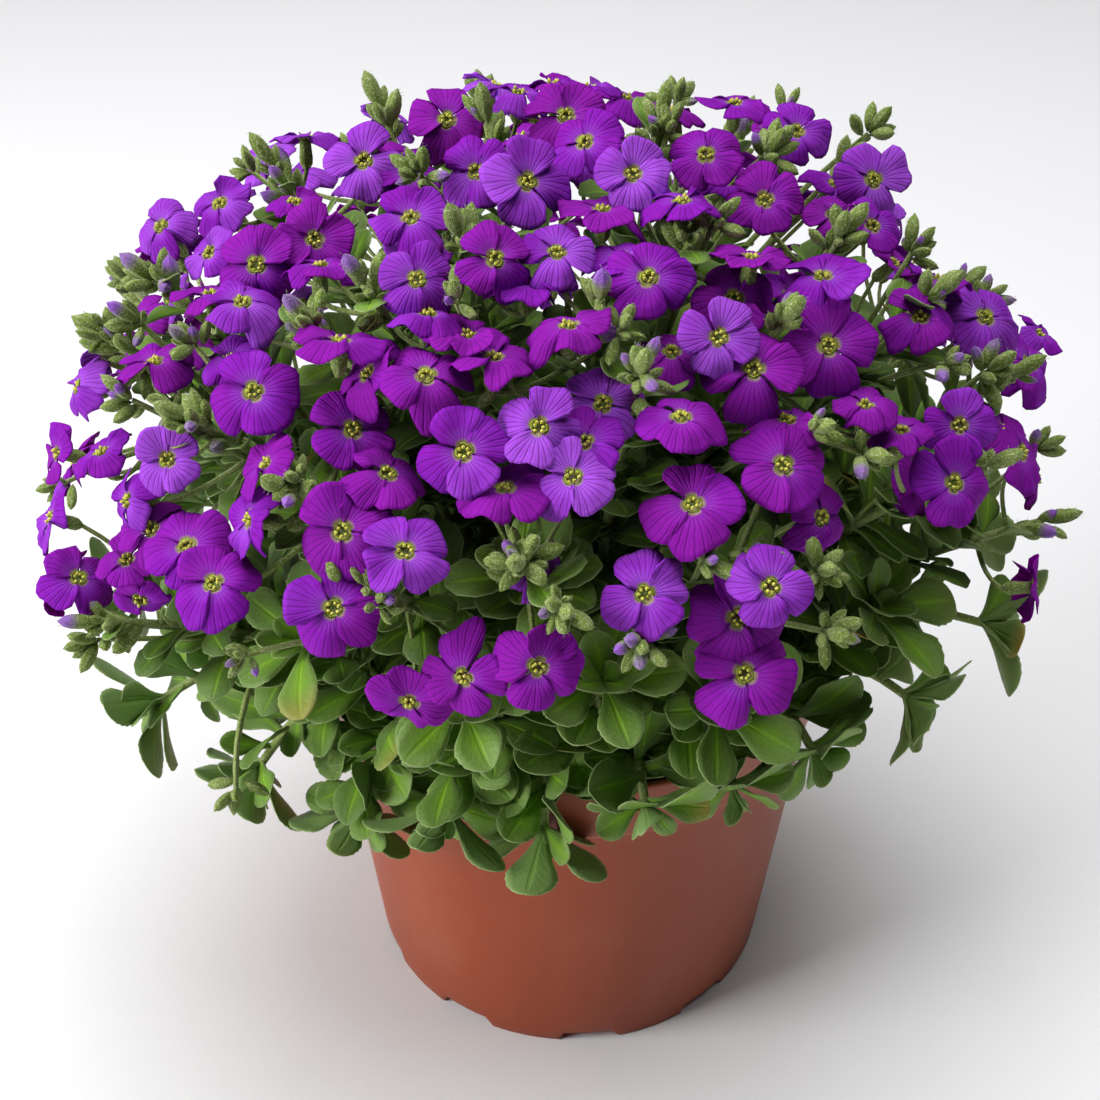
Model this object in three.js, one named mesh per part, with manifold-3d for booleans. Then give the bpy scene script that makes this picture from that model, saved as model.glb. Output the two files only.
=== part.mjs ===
// A potted aubrieta: a dome of violet blooms and grey-green leafy shoots in a 13 cm plastic pot.
// Millimetres, +Z up. The origin is on the pot's axis, on the surface that the pot stands on.
// The front is -Y. Each spray is a flower stalk with its leaves, blooms and buds grown together,
// and each leafy shoot is a stem with its leaves. Neighbours are trimmed clear of each other.

import * as THREE from "three";
import { mergeVertices } from "three/addons/utils/BufferGeometryUtils.js";
import Module from "manifold-3d";

const wasm = await Module();
wasm.setup();

// Pot
const POT_TOP_DIAMETER = 130;
const POT_BASE_DIAMETER = 110;
const POT_HEIGHT = 102;
const POT_WALL = 1.6;
const POT_SIDES = 36;
const BAND_HEIGHT = 16.5;
const BAND_STEP = 0.4;
const FOOT_WIDTH = 3.2;
const FLOOR_LIFT = 1.8;
const FLOOR_THICKNESS = 1.8;
const NOTCH_COUNT = 10;
const NOTCH_DEGREES = 15;
const NOTCH_HEIGHT = 3;
const FIRST_NOTCH_DEGREES = -13.5;

// Soil
const SOIL_TOP = 94;
const SOIL_SIDES = 18;
const ROOT_DEPTH = 12;

// The plant's dome, on whose surface the blooms stand
const DOME_CENTRE = new THREE.Vector3(-6, 5, 140);
const DOME_RADII = new THREE.Vector3(121, 106, 95);

// Blooms. A petal's outline is given as turns from its middle line in radians and shares of the
// bloom's radius, and its last point is the notch to the next petal. A range holds a low and a
// high end, between which a seeded draw falls.
const PETALS = 4;
const PETAL_OUTLINE = [
  [-0.48, 0.88],
  [0, 1],
  [0.48, 0.88],
  [Math.PI / PETALS, 0.42],
];
const PETAL_DROOP = [-0.04, 0.22];
const EYE_RISE = 0.5;
const CALYX_DEPTH = 1.2;
const CALYX_LENGTH = 7;
const CALYX_RADIUS = 1.5;
const PEDICEL_ROOT_RADIUS = 0.45;

// Flower stalks and buds. A bend's place is given as shares of the way from foot to tip, outward
// and upward, and a pedicel's branching as a share of the stalk, counted down from its tip.
const STALK_RADIUS = 1.5;
const STALK_TIP_RADIUS = 1.2;
const STALK_BEND_OUT = 0.3;
const STALK_BEND_UP = 0.62;
const STALK_JOINTS = [0, 0.35, 0.7, 1];
const BRANCH_SLANT = 0.75;
const BRANCH_SHARE = [0.06, 0.45];
const SIDE_BUDS = 2;
const SIDE_BUD_TOP = 0.96;
const SIDE_BUD_STEP = 0.04;
const SIDE_BUD_LEAN = [0.7, 1.1];
const SIDE_BUD_SIZE = [0.9, 1.2];
const BUD_LENGTH = 9;
const BUD_RADIUS = 1.7;
const BUD_WIDEST = 0.61;

// Blooms moved clear of each other: what a bloom's disc counts for, the moves tried in mm, what a
// millimetre of move counts against a millimetre of crossing, and when two faces count as parallel
const DISC_SHARE = 0.9;
const SHIFTS = [0, 1.5, -1.5, 3, -3, 4.5, -4.5, 6, -6, 8, 10, 12];
const SHIFT_COST = 0.4;
const PARALLEL = 0.003;

// Leafy shoots, and where their stems and the flower stalks leave the soil
const SHOOT_RADIUS = 1.6;
const RIM_SHOOT_FOOT = 49;
const RIM_SHOOT_BEND_HEIGHT = 124;
const RIM_SHOOT_BEND_RISE = 4;
const INNER_SHOOT_FOOT = 42;
const INNER_SHOOT_BEND_HEIGHT = 118;
const SHOOT_BEND_REACH = 60;
const SHOOT_TIP_INSET = 10;
const SPRAY_FOOT_SHARE = 0.3;

// Leaves. Half a leaf's outline is given as shares of its length, along it and to one side.
const LEAF_LENGTH = 20;
const LEAF_HALF_OUTLINE = [
  [0, 0.02],
  [0.44, 0.1],
  [0.65, 0.23],
  [0.8, 0.25],
  [0.87, 0.15],
];
const LEAF_MIDDLE = 0.7;
const LEAF_CROWN = 0.2;
const LEAF_KEEL = 1;
const LEAF_FOOT_KEEL = 0.5;
const LEAF_LEAN = [1.0, 1.3];
const LEAF_SIZE = [0.9, 1.1];
const LEAF_ARCH = [0.08, 0.22];
const LEAF_UPWARD = 0.8;
const LEAVES_PER_SHOOT = 2;
const FIRST_LEAF_PLACE = 0.6;
const LEAF_PLACE_STEP = 0.2;

// Rosettes at the shoots' tips, with leaves of the same kind in one fan
const ROSETTE_LEAVES = 5;
const ROSETTE_HALF_OUTLINE = [
  [0.68, 0.25],
  [0.86, 0.2],
];
const ROSETTE_LEAF_SIZE = [0.72, 1.02];
const ROSETTE_LEAN = 1.0;
const ROSETTE_DROOP = 0.12;
const ROSETTE_HEART = 2.4;
const ROSETTE_CROWN = 0.6;
const ROSETTE_NECK = 3;
const ROSETTE_NECK_RINGS = [
  [4, 0.6],
  [1.2, 1.4],
];

// Leaves turned to where they have room: the turns tried, the places along a leaf where its room
// is measured, and the part of a leaf that its blade takes, with the blade's share of the length
const TURNS_TRIED = 8;
const ROOM_PLACES = [0.4, 0.7, 1];
const BLADE_PART = [0.5, 0.9];
const BLADE_SHARE = 0.24;
const BLOOM_SHARE = 0.75;

// Clearance between neighbouring solids, and the size below which trimming's slivers are merged
const GAP = 0.3;
const SLIVER = 0.05;

// First seeds of the drawn sizes and turns
const BLOOM_SEED = 100;
const HIDDEN_BLOOM_SEED = 7000;
const ROSETTE_SEED = 400;
const LEAF_SEED = 500;
const BUD_SEED = 900;

const GOLDEN_ANGLE = Math.PI * (3 - Math.sqrt(5));

// The view that the blooms' places are read in: a camera above the front, looking at a point on
// the pot's middle plane, and the photograph's pixels, of which the middle one is at (550, 550).
const VIEW_ELEVATION = THREE.MathUtils.degToRad(35.4);
const VIEW_DISTANCE = 373.5;
const VIEW_FOCAL_PIXELS = 1489.4;
const VIEW_MIDDLE_PIXEL = 550;
const VIEW_TARGET = new THREE.Vector3(-6, 0, 122.2);
const VIEW_RIGHT = new THREE.Vector3(1, 0, 0);
const VIEW_UP = new THREE.Vector3(0, Math.sin(VIEW_ELEVATION), Math.cos(VIEW_ELEVATION));
const VIEW_BACK = new THREE.Vector3(0, -Math.cos(VIEW_ELEVATION), Math.sin(VIEW_ELEVATION));
const VIEW_EYE = VIEW_TARGET.clone().addScaledVector(VIEW_BACK, VIEW_DISTANCE);

// Blooms in view, one to a row: pixel x and y of the eye, how far the face turns right and up
// in the picture (0, 0 faces the viewer), the radius in mm, and how far it stands back in mm.
const BLOOMS_IN_VIEW = [
  [553, 82, 0.0, 0.9, 7.0, 0],
  [590, 85, 0.1, 0.9, 7.5, 0],
  [519, 90, 0.1, 0.85, 7.5, 0],
  [735, 101, 0.0, 0.8, 9.0, 0],
  [675, 109, 0.0, 0.9, 6.5, 0],
  [566, 114, 0.1, 0.35, 8.5, 0],
  [447, 119, 0.1, 0.1, 8.2, 0],
  [797, 130, 0.1, 0.35, 8.0, 0],
  [305, 135, 0.0, 0.95, 8.0, 0],
  [584, 141, -0.3, 0.3, 8.0, 0],
  [706, 154, -0.1, 0.1, 8.0, 0],
  [363, 160, -0.1, 0.2, 8.3, 0],
  [476, 171, -0.1, 0.2, 7.8, 6],
  [633, 173, 0.0, 0.15, 7.6, 0],
  [409, 175, 0.2, 0.3, 7.0, 8],
  [874, 179, 0.1, 0.1, 9.0, 0],
  [528, 181, 0.2, 0.1, 9.2, 0],
  [682, 199, 0.0, 0.8, 8.0, 0],
  [765, 199, 0.0, 0.2, 8.0, 4],
  [295, 200, 0.2, 0.7, 5.5, 5],
  [219, 202, -0.2, 0.5, 7.3, 0],
  [603, 207, 0.0, 0.85, 9.0, 5],
  [834, 214, 0.0, 0.3, 6.5, 6],
  [410, 216, -0.1, 0.55, 8.0, 0],
  [873, 225, 0.2, 0.3, 7.0, 7],
  [160, 225, -0.4, 0.4, 7.5, 0],
  [315, 239, 0.3, 0.1, 8.0, 5],
  [557, 251, 0.1, 0.5, 7.5, 3],
  [208, 252, -0.5, 0.3, 6.5, 6],
  [417, 252, 0.0, 0.6, 7.0, 7],
  [620, 255, -0.2, 0.7, 8.0, 6],
  [752, 255, 0.1, 0.85, 8.0, 0],
  [495, 258, 0.1, 0.15, 7.6, 0],
  [321, 263, 0.1, 0.9, 7.5, 4],
  [256, 264, 0.05, 0.0, 8.4, 0],
  [823, 274, 0.0, 0.75, 9.0, 0],
  [939, 277, 0.1, 0.95, 7.5, 4],
  [648, 277, -0.1, 0.2, 8.6, 0],
  [417, 278, 0.1, 0.2, 7.5, 0],
  [528, 280, 0.1, 0.85, 8.5, 3],
  [210, 292, -0.1, 0.85, 8.0, 4],
  [734, 298, 0.0, 0.2, 8.5, 7],
  [242, 300, 0.0, 0.65, 8.0, 0],
  [428, 311, 0.1, 0.85, 8.5, 0],
  [921, 316, 0.0, 0.6, 8.0, 3],
  [986, 316, 0.1, 0.3, 9.3, 0],
  [569, 323, 0.0, 0.8, 8.0, 0],
  [1041, 333, 0.6, 0.6, 6.5, 2],
  [468, 333, 0.0, 0.85, 8.0, 6],
  [719, 337, 0.0, 0.0, 7.8, 0],
  [340, 338, 0.1, 0.9, 9.2, 0],
  [829, 345, 0.05, 0.1, 10.0, 2],
  [672, 350, 0.0, 0.6, 7.5, 8],
  [494, 355, 0.1, 0.85, 8.5, 4],
  [231, 359, -0.1, 0.5, 7.0, 5],
  [154, 360, -0.1, 0.85, 8.0, 0],
  [1031, 362, 0.5, 0.5, 9.0, 0],
  [754, 368, 0.0, 0.3, 9.6, 0],
  [366, 372, -0.6, 0.5, 8.0, 3],
  [426, 374, 0.0, 0.5, 8.8, 0],
  [75, 386, -0.85, 0.2, 7.5, 0],
  [253, 391, 0.05, 0.1, 9.0, 0],
  [603, 403, 0.0, 0.2, 8.0, 8],
  [866, 403, 0.0, 0.85, 6.5, 2],
  [681, 415, 0.0, 0.7, 8.5, 0],
  [788, 417, 0.1, 0.8, 8.0, 6],
  [960, 425, 0.1, 0.1, 7.5, 0],
  [539, 426, 0.0, 0.1, 8.0, 0],
  [901, 428, 0.0, 0.8, 6.5, 2],
  [353, 429, 0.3, 0.2, 8.5, 4],
  [1005, 430, 0.7, 0.3, 8.0, 4],
  [584, 441, -0.2, 0.5, 7.8, 3],
  [100, 450, -0.3, 0.8, 7.0, 3],
  [464, 451, 0.05, 0.1, 8.6, 0],
  [1024, 452, 0.7, 0.1, 8.5, 2],
  [167, 459, 0.0, 0.15, 7.0, 0],
  [264, 463, -0.6, 0.6, 7.5, 2],
  [784, 465, 0.1, 0.1, 9.0, 0],
  [389, 472, 0.4, 0.6, 8.0, 5],
  [573, 476, 0.0, 0.35, 7.8, 0],
  [955, 483, 0.25, 0.05, 9.2, 0],
  [505, 486, 0.0, 0.8, 9.0, 2],
  [125, 500, -0.8, 0.1, 7.0, 4],
  [693, 503, 0.0, 0.45, 9.3, 0],
  [49, 517, -0.85, 0.25, 9.0, 0],
  [247, 519, -0.85, 0.1, 8.0, 0],
  [150, 528, -0.3, 0.5, 7.5, 7],
  [342, 531, -0.05, 0.05, 9.3, 0],
  [186, 545, -0.1, 0.45, 9.0, 0],
  [405, 550, 0.1, 0.4, 8.2, -3],
  [126, 559, -0.2, 0.6, 7.0, 5],
  [79, 577, 0.4, 0.4, 8.0, 0],
  [213, 582, 0.0, 0.45, 8.5, -4],
  [771, 587, 0.0, 0.0, 7.8, -6],
  [645, 594, 0.0, 0.05, 8.3, 0],
  [140, 601, 0.0, -0.7, 6.0, 6],
  [333, 608, 0.0, 0.1, 9.3, 0],
  [738, 618, 0.0, 0.1, 9.6, 2],
  [538, 667, 0.05, -0.1, 8.5, 2],
  [745, 674, 0.0, 0.2, 10.0, 0],
  [463, 678, -0.3, -0.4, 8.5, 6],
  [409, 703, -0.1, -0.6, 9.0, 8],
];

// Bud clusters in view: pixel x and y. Each is the tip of a spray, whose blooms stand round it.
const CLUSTERS_IN_VIEW = [
  [488, 124],
  [660, 122],
  [275, 168],
  [460, 238],
  [690, 232],
  [842, 236],
  [155, 280],
  [365, 285],
  [600, 300],
  [930, 298],
  [310, 322],
  [782, 324],
  [110, 338],
  [640, 374],
  [1008, 376],
  [190, 420],
  [985, 466],
  [290, 490],
  [519, 566],
  [100, 622],
  [758, 562],
  [365, 592],
];
const CLUSTER_SETBACK = 3;

// The dome's unseen back is grown by a lattice of the same spacing as the front
const LATTICE_BLOOMS = 84;
const LATTICE_CLUSTERS = 15;
const LATTICE_LOWEST = -0.08;
const LATTICE_HIDDEN = 0.06;
const HIDDEN_LEAN_SIDE = [-0.5, 0.5];
const HIDDEN_LEAN_UP = [0, 0.9];
const HIDDEN_SETBACK = [0, 6];
const HIDDEN_BLOOM_RADIUS = [7, 9.4];

// Leafy shoots that lean over the rim: bearing in degrees from the front towards +X,
// reach from the axis, and height of the tip.
const RIM_SHOOTS = [
  [-106, 110, 118],
  [-88, 116, 112],
  [-73, 112, 101],
  [-58, 96, 95],
  [-41, 84, 92],
  [-23, 82, 103],
  [-6, 79, 99],
  [11, 84, 110],
  [28, 82, 106],
  [44, 85, 108],
  [61, 95, 112],
  [78, 108, 116],
  [98, 106, 124],
  [124, 98, 114],
  [150, 96, 110],
  [178, 94, 112],
  [-154, 96, 110],
  [-129, 100, 114],
];

// Leafy shoots inside the dome, below the lowest blooms
const INNER_SHOOTS = [
  [-95, 96, 142],
  [-66, 92, 132],
  [-44, 90, 138],
  [-17, 88, 136],
  [3, 90, 146],
  [21, 86, 132],
  [53, 88, 138],
  [84, 92, 140],
  [138, 88, 142],
  [-142, 88, 142],
];

const POT_COLOUR = 0xa85a40;
const SOIL_COLOUR = 0x35241a;
const BLOOM_COLOUR = 0x8412c0;
const LEAF_COLOUR = 0x5f7d46;

// A seeded source of numbers from 0 to 1
function seededDraws(seed) {
  let state = seed >>> 0;
  return () => {
    state = (state + 0x6d2b79f5) >>> 0;
    let mixed = Math.imul(state ^ (state >>> 15), state | 1);
    mixed ^= mixed + Math.imul(mixed ^ (mixed >>> 7), mixed | 61);
    return ((mixed ^ (mixed >>> 14)) >>> 0) / 4294967296;
  };
}

function drawIn(draw, [low, high]) {
  return low + (high - low) * draw();
}

// Rings of points joined into one closed body, from the far end to the near one. Each ring
// runs counter-clockwise as seen from the last ring's side, and a ring of one point is an apex.
function bodyFromRings(rings) {
  const corners = rings.flat();
  const faces = [];
  let start = 0;
  rings.forEach((ring, index) => {
    const count = ring.length;
    if (index === 0) faces.push(...capFaces(start, count, true));
    if (index === rings.length - 1) faces.push(...capFaces(start, count, false));
    else faces.push(...bandFaces(start, count, start + count, rings[index + 1].length));
    start += count;
  });
  return toManifold(corners, faces);
}

// A fan over a ring, facing back along the body or forward
function capFaces(start, count, back) {
  const faces = [];
  for (let i = 1; i < count - 1; i += 1) {
    faces.push(back ? [start, start + i + 1, start + i] : [start, start + i, start + i + 1]);
  }
  return faces;
}

// Triangles between two rings whose counts may differ
function bandFaces(lower, lowerCount, upper, upperCount) {
  const faces = [];
  let i = 0;
  let j = 0;
  while (i < lowerCount || j < upperCount) {
    const lowerIsNext = (i + 1) * upperCount <= (j + 1) * lowerCount;
    const stepLower = j >= upperCount || (i < lowerCount && lowerIsNext);
    const a = lower + (i % lowerCount);
    const b = upper + (j % upperCount);
    if (stepLower) {
      if (lowerCount > 1) faces.push([a, lower + ((i + 1) % lowerCount), b]);
      i += 1;
    } else {
      if (upperCount > 1) faces.push([a, upper + ((j + 1) % upperCount), b]);
      j += 1;
    }
  }
  return faces;
}

function toManifold(corners, faces) {
  const geometry = new THREE.BufferGeometry();
  const places = corners.flatMap((corner) => corner.toArray());
  geometry.setAttribute("position", new THREE.Float32BufferAttribute(places, 3));
  geometry.setIndex(faces.flat());
  return geometryToManifold(geometry);
}

function geometryToManifold(geometry) {
  const bare = geometry.clone();
  bare.deleteAttribute("normal");
  bare.deleteAttribute("uv");
  const merged = mergeVertices(bare, 1e-4);
  const mesh = new wasm.Mesh({
    numProp: 3,
    vertProperties: new Float32Array(merged.attributes.position.array),
    triVerts: new Uint32Array(merged.index.array),
  });
  return new wasm.Manifold(mesh);
}

function union(solids) {
  return wasm.Manifold.union(solids);
}

// Two directions square to an axis, turned about it by an angle
function squareTo(axis, turn = 0) {
  const helper = Math.abs(axis.z) < 0.9 ? new THREE.Vector3(0, 0, 1) : new THREE.Vector3(0, 1, 0);
  const across = new THREE.Vector3().crossVectors(helper, axis).normalize();
  across.applyAxisAngle(axis, turn);
  const over = new THREE.Vector3().crossVectors(axis, across);
  return [across, over];
}

// The direction that leans out from an axis by an angle, to the side given
function leaning(axis, across, angle) {
  const straight = axis.clone().multiplyScalar(Math.cos(angle));
  return straight.addScaledVector(across, Math.sin(angle)).normalize();
}

// A direction square to one axis, carried over to another axis with the least turn
function carried(across, from, to) {
  return across.clone().applyQuaternion(new THREE.Quaternion().setFromUnitVectors(from, to));
}

// A ring of points round an axis, the first of them on the side given
function ringAt(centre, axis, across, radius, count) {
  const over = new THREE.Vector3().crossVectors(axis, across);
  return Array.from({ length: count }, (_, i) => {
    const angle = (2 * Math.PI * i) / count;
    return centre
      .clone()
      .addScaledVector(across, radius * Math.cos(angle))
      .addScaledVector(over, radius * Math.sin(angle));
  });
}

// A three-sided stem along a path of points, its radius shrinking to the tip's, which may end
// in a bud
function stem({ points, footRadius, budLength }, grow = 0) {
  const last = points.length - 1;
  const headingAt = (i) => {
    const before = points[Math.max(i - 1, 0)];
    const after = points[Math.min(i + 1, last)];
    return after.clone().sub(before).normalize();
  };
  let heading = headingAt(0);
  let [across] = squareTo(heading);
  const rings = points.map((point, i) => {
    across = carried(across, heading, headingAt(i));
    heading = headingAt(i);
    const radius = THREE.MathUtils.lerp(footRadius, STALK_TIP_RADIUS, i / last) + 2 * grow;
    const end = i === 0 ? -grow : i === last ? grow : 0;
    return ringAt(point.clone().addScaledVector(heading, end), heading, across, radius, 3);
  });
  if (budLength > 0) {
    const wide = points[last].clone().addScaledVector(heading, BUD_WIDEST * budLength);
    rings.push(ringAt(wide, heading, across, BUD_RADIUS + 2 * grow, 3));
    rings.push([points[last].clone().addScaledVector(heading, budLength + 2 * grow)]);
  }
  return bodyFromRings(rings);
}

// A point on a quadratic curve through a foot, a bend and a tip
function onCurve([foot, bend, tip], t) {
  return foot
    .clone()
    .multiplyScalar((1 - t) * (1 - t))
    .addScaledVector(bend, 2 * t * (1 - t))
    .addScaledVector(tip, t * t);
}

// The ends of the straight lengths that a stem's curve is built in
function stemPoints(curve) {
  return STALK_JOINTS.map((t) => onCurve(curve, t));
}

// A point on a stem's straight lengths, which lie a little inside its curve
function onStem(curve, t) {
  const next = Math.max(STALK_JOINTS.findIndex((joint) => joint >= t), 1);
  const from = STALK_JOINTS[next - 1];
  const share = (t - from) / (STALK_JOINTS[next] - from);
  return onCurve(curve, from).lerp(onCurve(curve, STALK_JOINTS[next]), share);
}

function curveDirection(curve, t) {
  const step = 0.02;
  const before = onCurve(curve, Math.max(t - step, 0));
  return onCurve(curve, Math.min(t + step, 1)).sub(before).normalize();
}

// A bloom on its pedicel: four petals as one lobed blade, knife-edged, over a slim calyx.
// With grow the same bloom is swollen all round, as the room that its neighbours leave it.
function bloom({ eye, face, radius, spin, droops, root }, grow = 0) {
  const [across, over] = squareTo(face, spin);
  const notchIndex = PETAL_OUTLINE.length - 1;
  const outline = (height) => {
    const points = [];
    for (let petal = 0; petal < PETALS; petal += 1) {
      PETAL_OUTLINE.forEach(([offset, reach], k) => {
        const angle = (2 * Math.PI * petal) / PETALS + offset;
        const distance = radius * reach + grow;
        const drop = k === notchIndex ? 0 : droops[petal] * radius * reach * reach;
        points.push(
          eye
            .clone()
            .addScaledVector(across, distance * Math.cos(angle))
            .addScaledVector(over, distance * Math.sin(angle))
            .addScaledVector(face, height - drop),
        );
      });
    }
    return points;
  };
  const calyxTop = eye.clone().addScaledVector(face, -CALYX_DEPTH - grow);
  const toward = calyxTop.clone().sub(root).normalize();
  const calyxAxis = toward.clone().add(face).normalize();
  const pedicelRoot = root.clone().addScaledVector(toward, -grow);
  const rootRadius = PEDICEL_ROOT_RADIUS + 2 * grow;
  const calyxRadius = CALYX_RADIUS + 2 * grow;
  const rings = [
    ringAt(pedicelRoot, toward, carried(across, face, toward), rootRadius, 3),
    ringAt(calyxTop, calyxAxis, carried(across, face, calyxAxis), calyxRadius, 3),
  ];
  if (grow > 0) rings.push(outline(-grow));
  rings.push(outline(grow));
  rings.push([eye.clone().addScaledVector(face, EYE_RISE + grow)]);
  return bodyFromRings(rings);
}

// A leaf: spoon-shaped, narrow at its root, with coarse teeth towards the tip, and keeled below
function leaf({ root, along, upper, length, arch }, grow = 0) {
  const side = new THREE.Vector3().crossVectors(upper, along).normalize();
  const normal = new THREE.Vector3().crossVectors(along, side).normalize();
  const half = LEAF_HALF_OUTLINE;
  const bendAt = (s) => -arch * length * s * s;
  const at = (s, width, height) =>
    root
      .clone()
      .addScaledVector(along, s * length)
      .addScaledVector(side, width * length)
      .addScaledVector(normal, bendAt(s) + height);
  const swell = grow / length;
  const edge = (height) => [
    ...half.map(([s, width]) => at(s, -width - swell, height)),
    at(1 + swell, 0, height),
    ...half.map(([s, width]) => at(s, width + swell, height)).reverse(),
  ];
  const count = 2 * half.length + 1;
  const lowerEdge = edge(-grow);
  const upperEdge = grow > 0 ? edge(grow) : [];
  const corners = [
    ...lowerEdge,
    ...upperEdge,
    at(LEAF_MIDDLE, 0, LEAF_CROWN + grow),
    at(LEAF_MIDDLE, 0, -LEAF_KEEL - grow),
    at(0, 0, -LEAF_FOOT_KEEL - grow),
  ];
  const upperStart = grow > 0 ? count : 0;
  const crown = lowerEdge.length + upperEdge.length;
  const keelMiddle = crown + 1;
  const keelFoot = crown + 2;
  const faces = [];
  for (let i = 0; i < count; i += 1) {
    const next = (i + 1) % count;
    faces.push([crown, upperStart + i, upperStart + next]);
    if (grow > 0) faces.push([upperStart + i, i, next]);
    if (grow > 0) faces.push([upperStart + i, next, upperStart + next]);
    if (next !== 0) faces.push([keelMiddle, next, i]);
  }
  faces.push([keelMiddle, 0, keelFoot]);
  faces.push([keelMiddle, keelFoot, count - 1]);
  faces.push([keelFoot, 0, count - 1]);
  return toManifold(corners, faces);
}

// A rosette at a shoot's tip: wedge-based leaves with a tooth at each shoulder, all from one heart
function rosette({ heart, axis, spin, lengths }, grow = 0) {
  const half = ROSETTE_HALF_OUTLINE;
  const outline = (height) =>
    lengths.flatMap((length, k) => {
      const turn = spin + (2 * Math.PI * k) / lengths.length;
      const [across, side] = squareTo(axis, turn);
      const [notch] = squareTo(axis, turn - Math.PI / lengths.length);
      const along = leaning(axis, across, ROSETTE_LEAN);
      const upward = new THREE.Vector3().crossVectors(along, side);
      const at = (s, width) =>
        heart
          .clone()
          .addScaledVector(along, s * length + (s < 1 ? 0 : grow))
          .addScaledVector(side, width * length + Math.sign(width) * grow)
          .addScaledVector(upward, height - ROSETTE_DROOP * length * s * s);
      const notchPoint = heart.clone().addScaledVector(notch, ROSETTE_HEART + grow);
      return [
        notchPoint.addScaledVector(axis, height),
        ...half.map(([s, width]) => at(s, -width)),
        at(1, 0),
        ...half.map(([s, width]) => at(s, width)).reverse(),
      ];
    });
  const [firstAcross] = squareTo(axis, spin);
  const rings = ROSETTE_NECK_RINGS.map(([depth, radius]) => {
    const centre = heart.clone().addScaledVector(axis, -depth - grow);
    return ringAt(centre, axis, firstAcross, radius + 2 * grow, 3);
  });
  rings.push(outline(-grow));
  if (grow > 0) rings.push(outline(grow));
  rings.push([heart.clone().addScaledVector(axis, ROSETTE_CROWN + grow)]);
  return bodyFromRings(rings);
}

// A bud: a slim three-sided spindle, widest past its middle, its foot sunk into the stalk
function bud({ root, along, length }, grow = 0) {
  const wide = root.clone().addScaledVector(along, BUD_WIDEST * length);
  const tip = root.clone().addScaledVector(along, length + 2 * grow);
  const foot = root.clone().addScaledVector(along, -2 * grow);
  const [across] = squareTo(along);
  return bodyFromRings([[foot], ringAt(wide, along, across, BUD_RADIUS + 2 * grow, 3), [tip]]);
}

// Where a pixel's line of sight meets the dome, or passes nearest to it, and then further by setback
function placeOnDome(x, y, setback) {
  const sight = VIEW_BACK.clone()
    .negate()
    .addScaledVector(VIEW_RIGHT, (x - VIEW_MIDDLE_PIXEL) / VIEW_FOCAL_PIXELS)
    .addScaledVector(VIEW_UP, (VIEW_MIDDLE_PIXEL - y) / VIEW_FOCAL_PIXELS)
    .normalize();
  const from = VIEW_EYE.clone().sub(DOME_CENTRE).divide(DOME_RADII);
  const along = sight.clone().divide(DOME_RADII);
  const square = along.lengthSq();
  const cross = from.dot(along);
  const inside = cross * cross - square * (from.lengthSq() - 1);
  const distance = (-cross - Math.sqrt(Math.max(inside, 0))) / square;
  return VIEW_EYE.clone().addScaledVector(sight, distance + setback);
}

// Evenly spread places on the part of the dome that the view doesn't show, with their normals
function hiddenPlaces(count) {
  const places = [];
  for (let i = 0; i < count; i += 1) {
    const height = 1 - ((i + 0.5) / count) * (1 - LATTICE_LOWEST);
    const ring = Math.sqrt(1 - height * height);
    const turn = i * GOLDEN_ANGLE;
    const unit = new THREE.Vector3(ring * Math.cos(turn), ring * Math.sin(turn), height);
    const place = unit.clone().multiply(DOME_RADII).add(DOME_CENTRE);
    const normal = unit.clone().divide(DOME_RADII).normalize();
    const sight = VIEW_EYE.clone().sub(place).normalize();
    if (normal.dot(sight) < LATTICE_HIDDEN) places.push({ place, normal });
  }
  return places;
}

function seenBlooms() {
  return BLOOMS_IN_VIEW.map(([x, y, right, up, radius, setback]) => {
    const back = Math.sqrt(Math.max(1 - right * right - up * up, 0));
    const face = new THREE.Vector3()
      .addScaledVector(VIEW_RIGHT, right)
      .addScaledVector(VIEW_UP, up)
      .addScaledVector(VIEW_BACK, back)
      .normalize();
    const eye = placeOnDome(x, y, setback);
    return { eye, face, radius, setback, backward: eye.clone().sub(VIEW_EYE).normalize() };
  });
}

function hiddenBlooms() {
  return hiddenPlaces(LATTICE_BLOOMS).map(({ place, normal }, i) => {
    const draw = seededDraws(HIDDEN_BLOOM_SEED + i);
    const lean = new THREE.Vector3(
      drawIn(draw, HIDDEN_LEAN_SIDE),
      drawIn(draw, HIDDEN_LEAN_SIDE),
      drawIn(draw, HIDDEN_LEAN_UP),
    );
    const face = normal.clone().add(lean).normalize();
    const setback = drawIn(draw, HIDDEN_SETBACK);
    const radius = drawIn(draw, HIDDEN_BLOOM_RADIUS);
    const eye = place.clone().addScaledVector(normal, -setback);
    return { eye, face, radius, setback, backward: normal.clone().negate() };
  });
}

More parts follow.
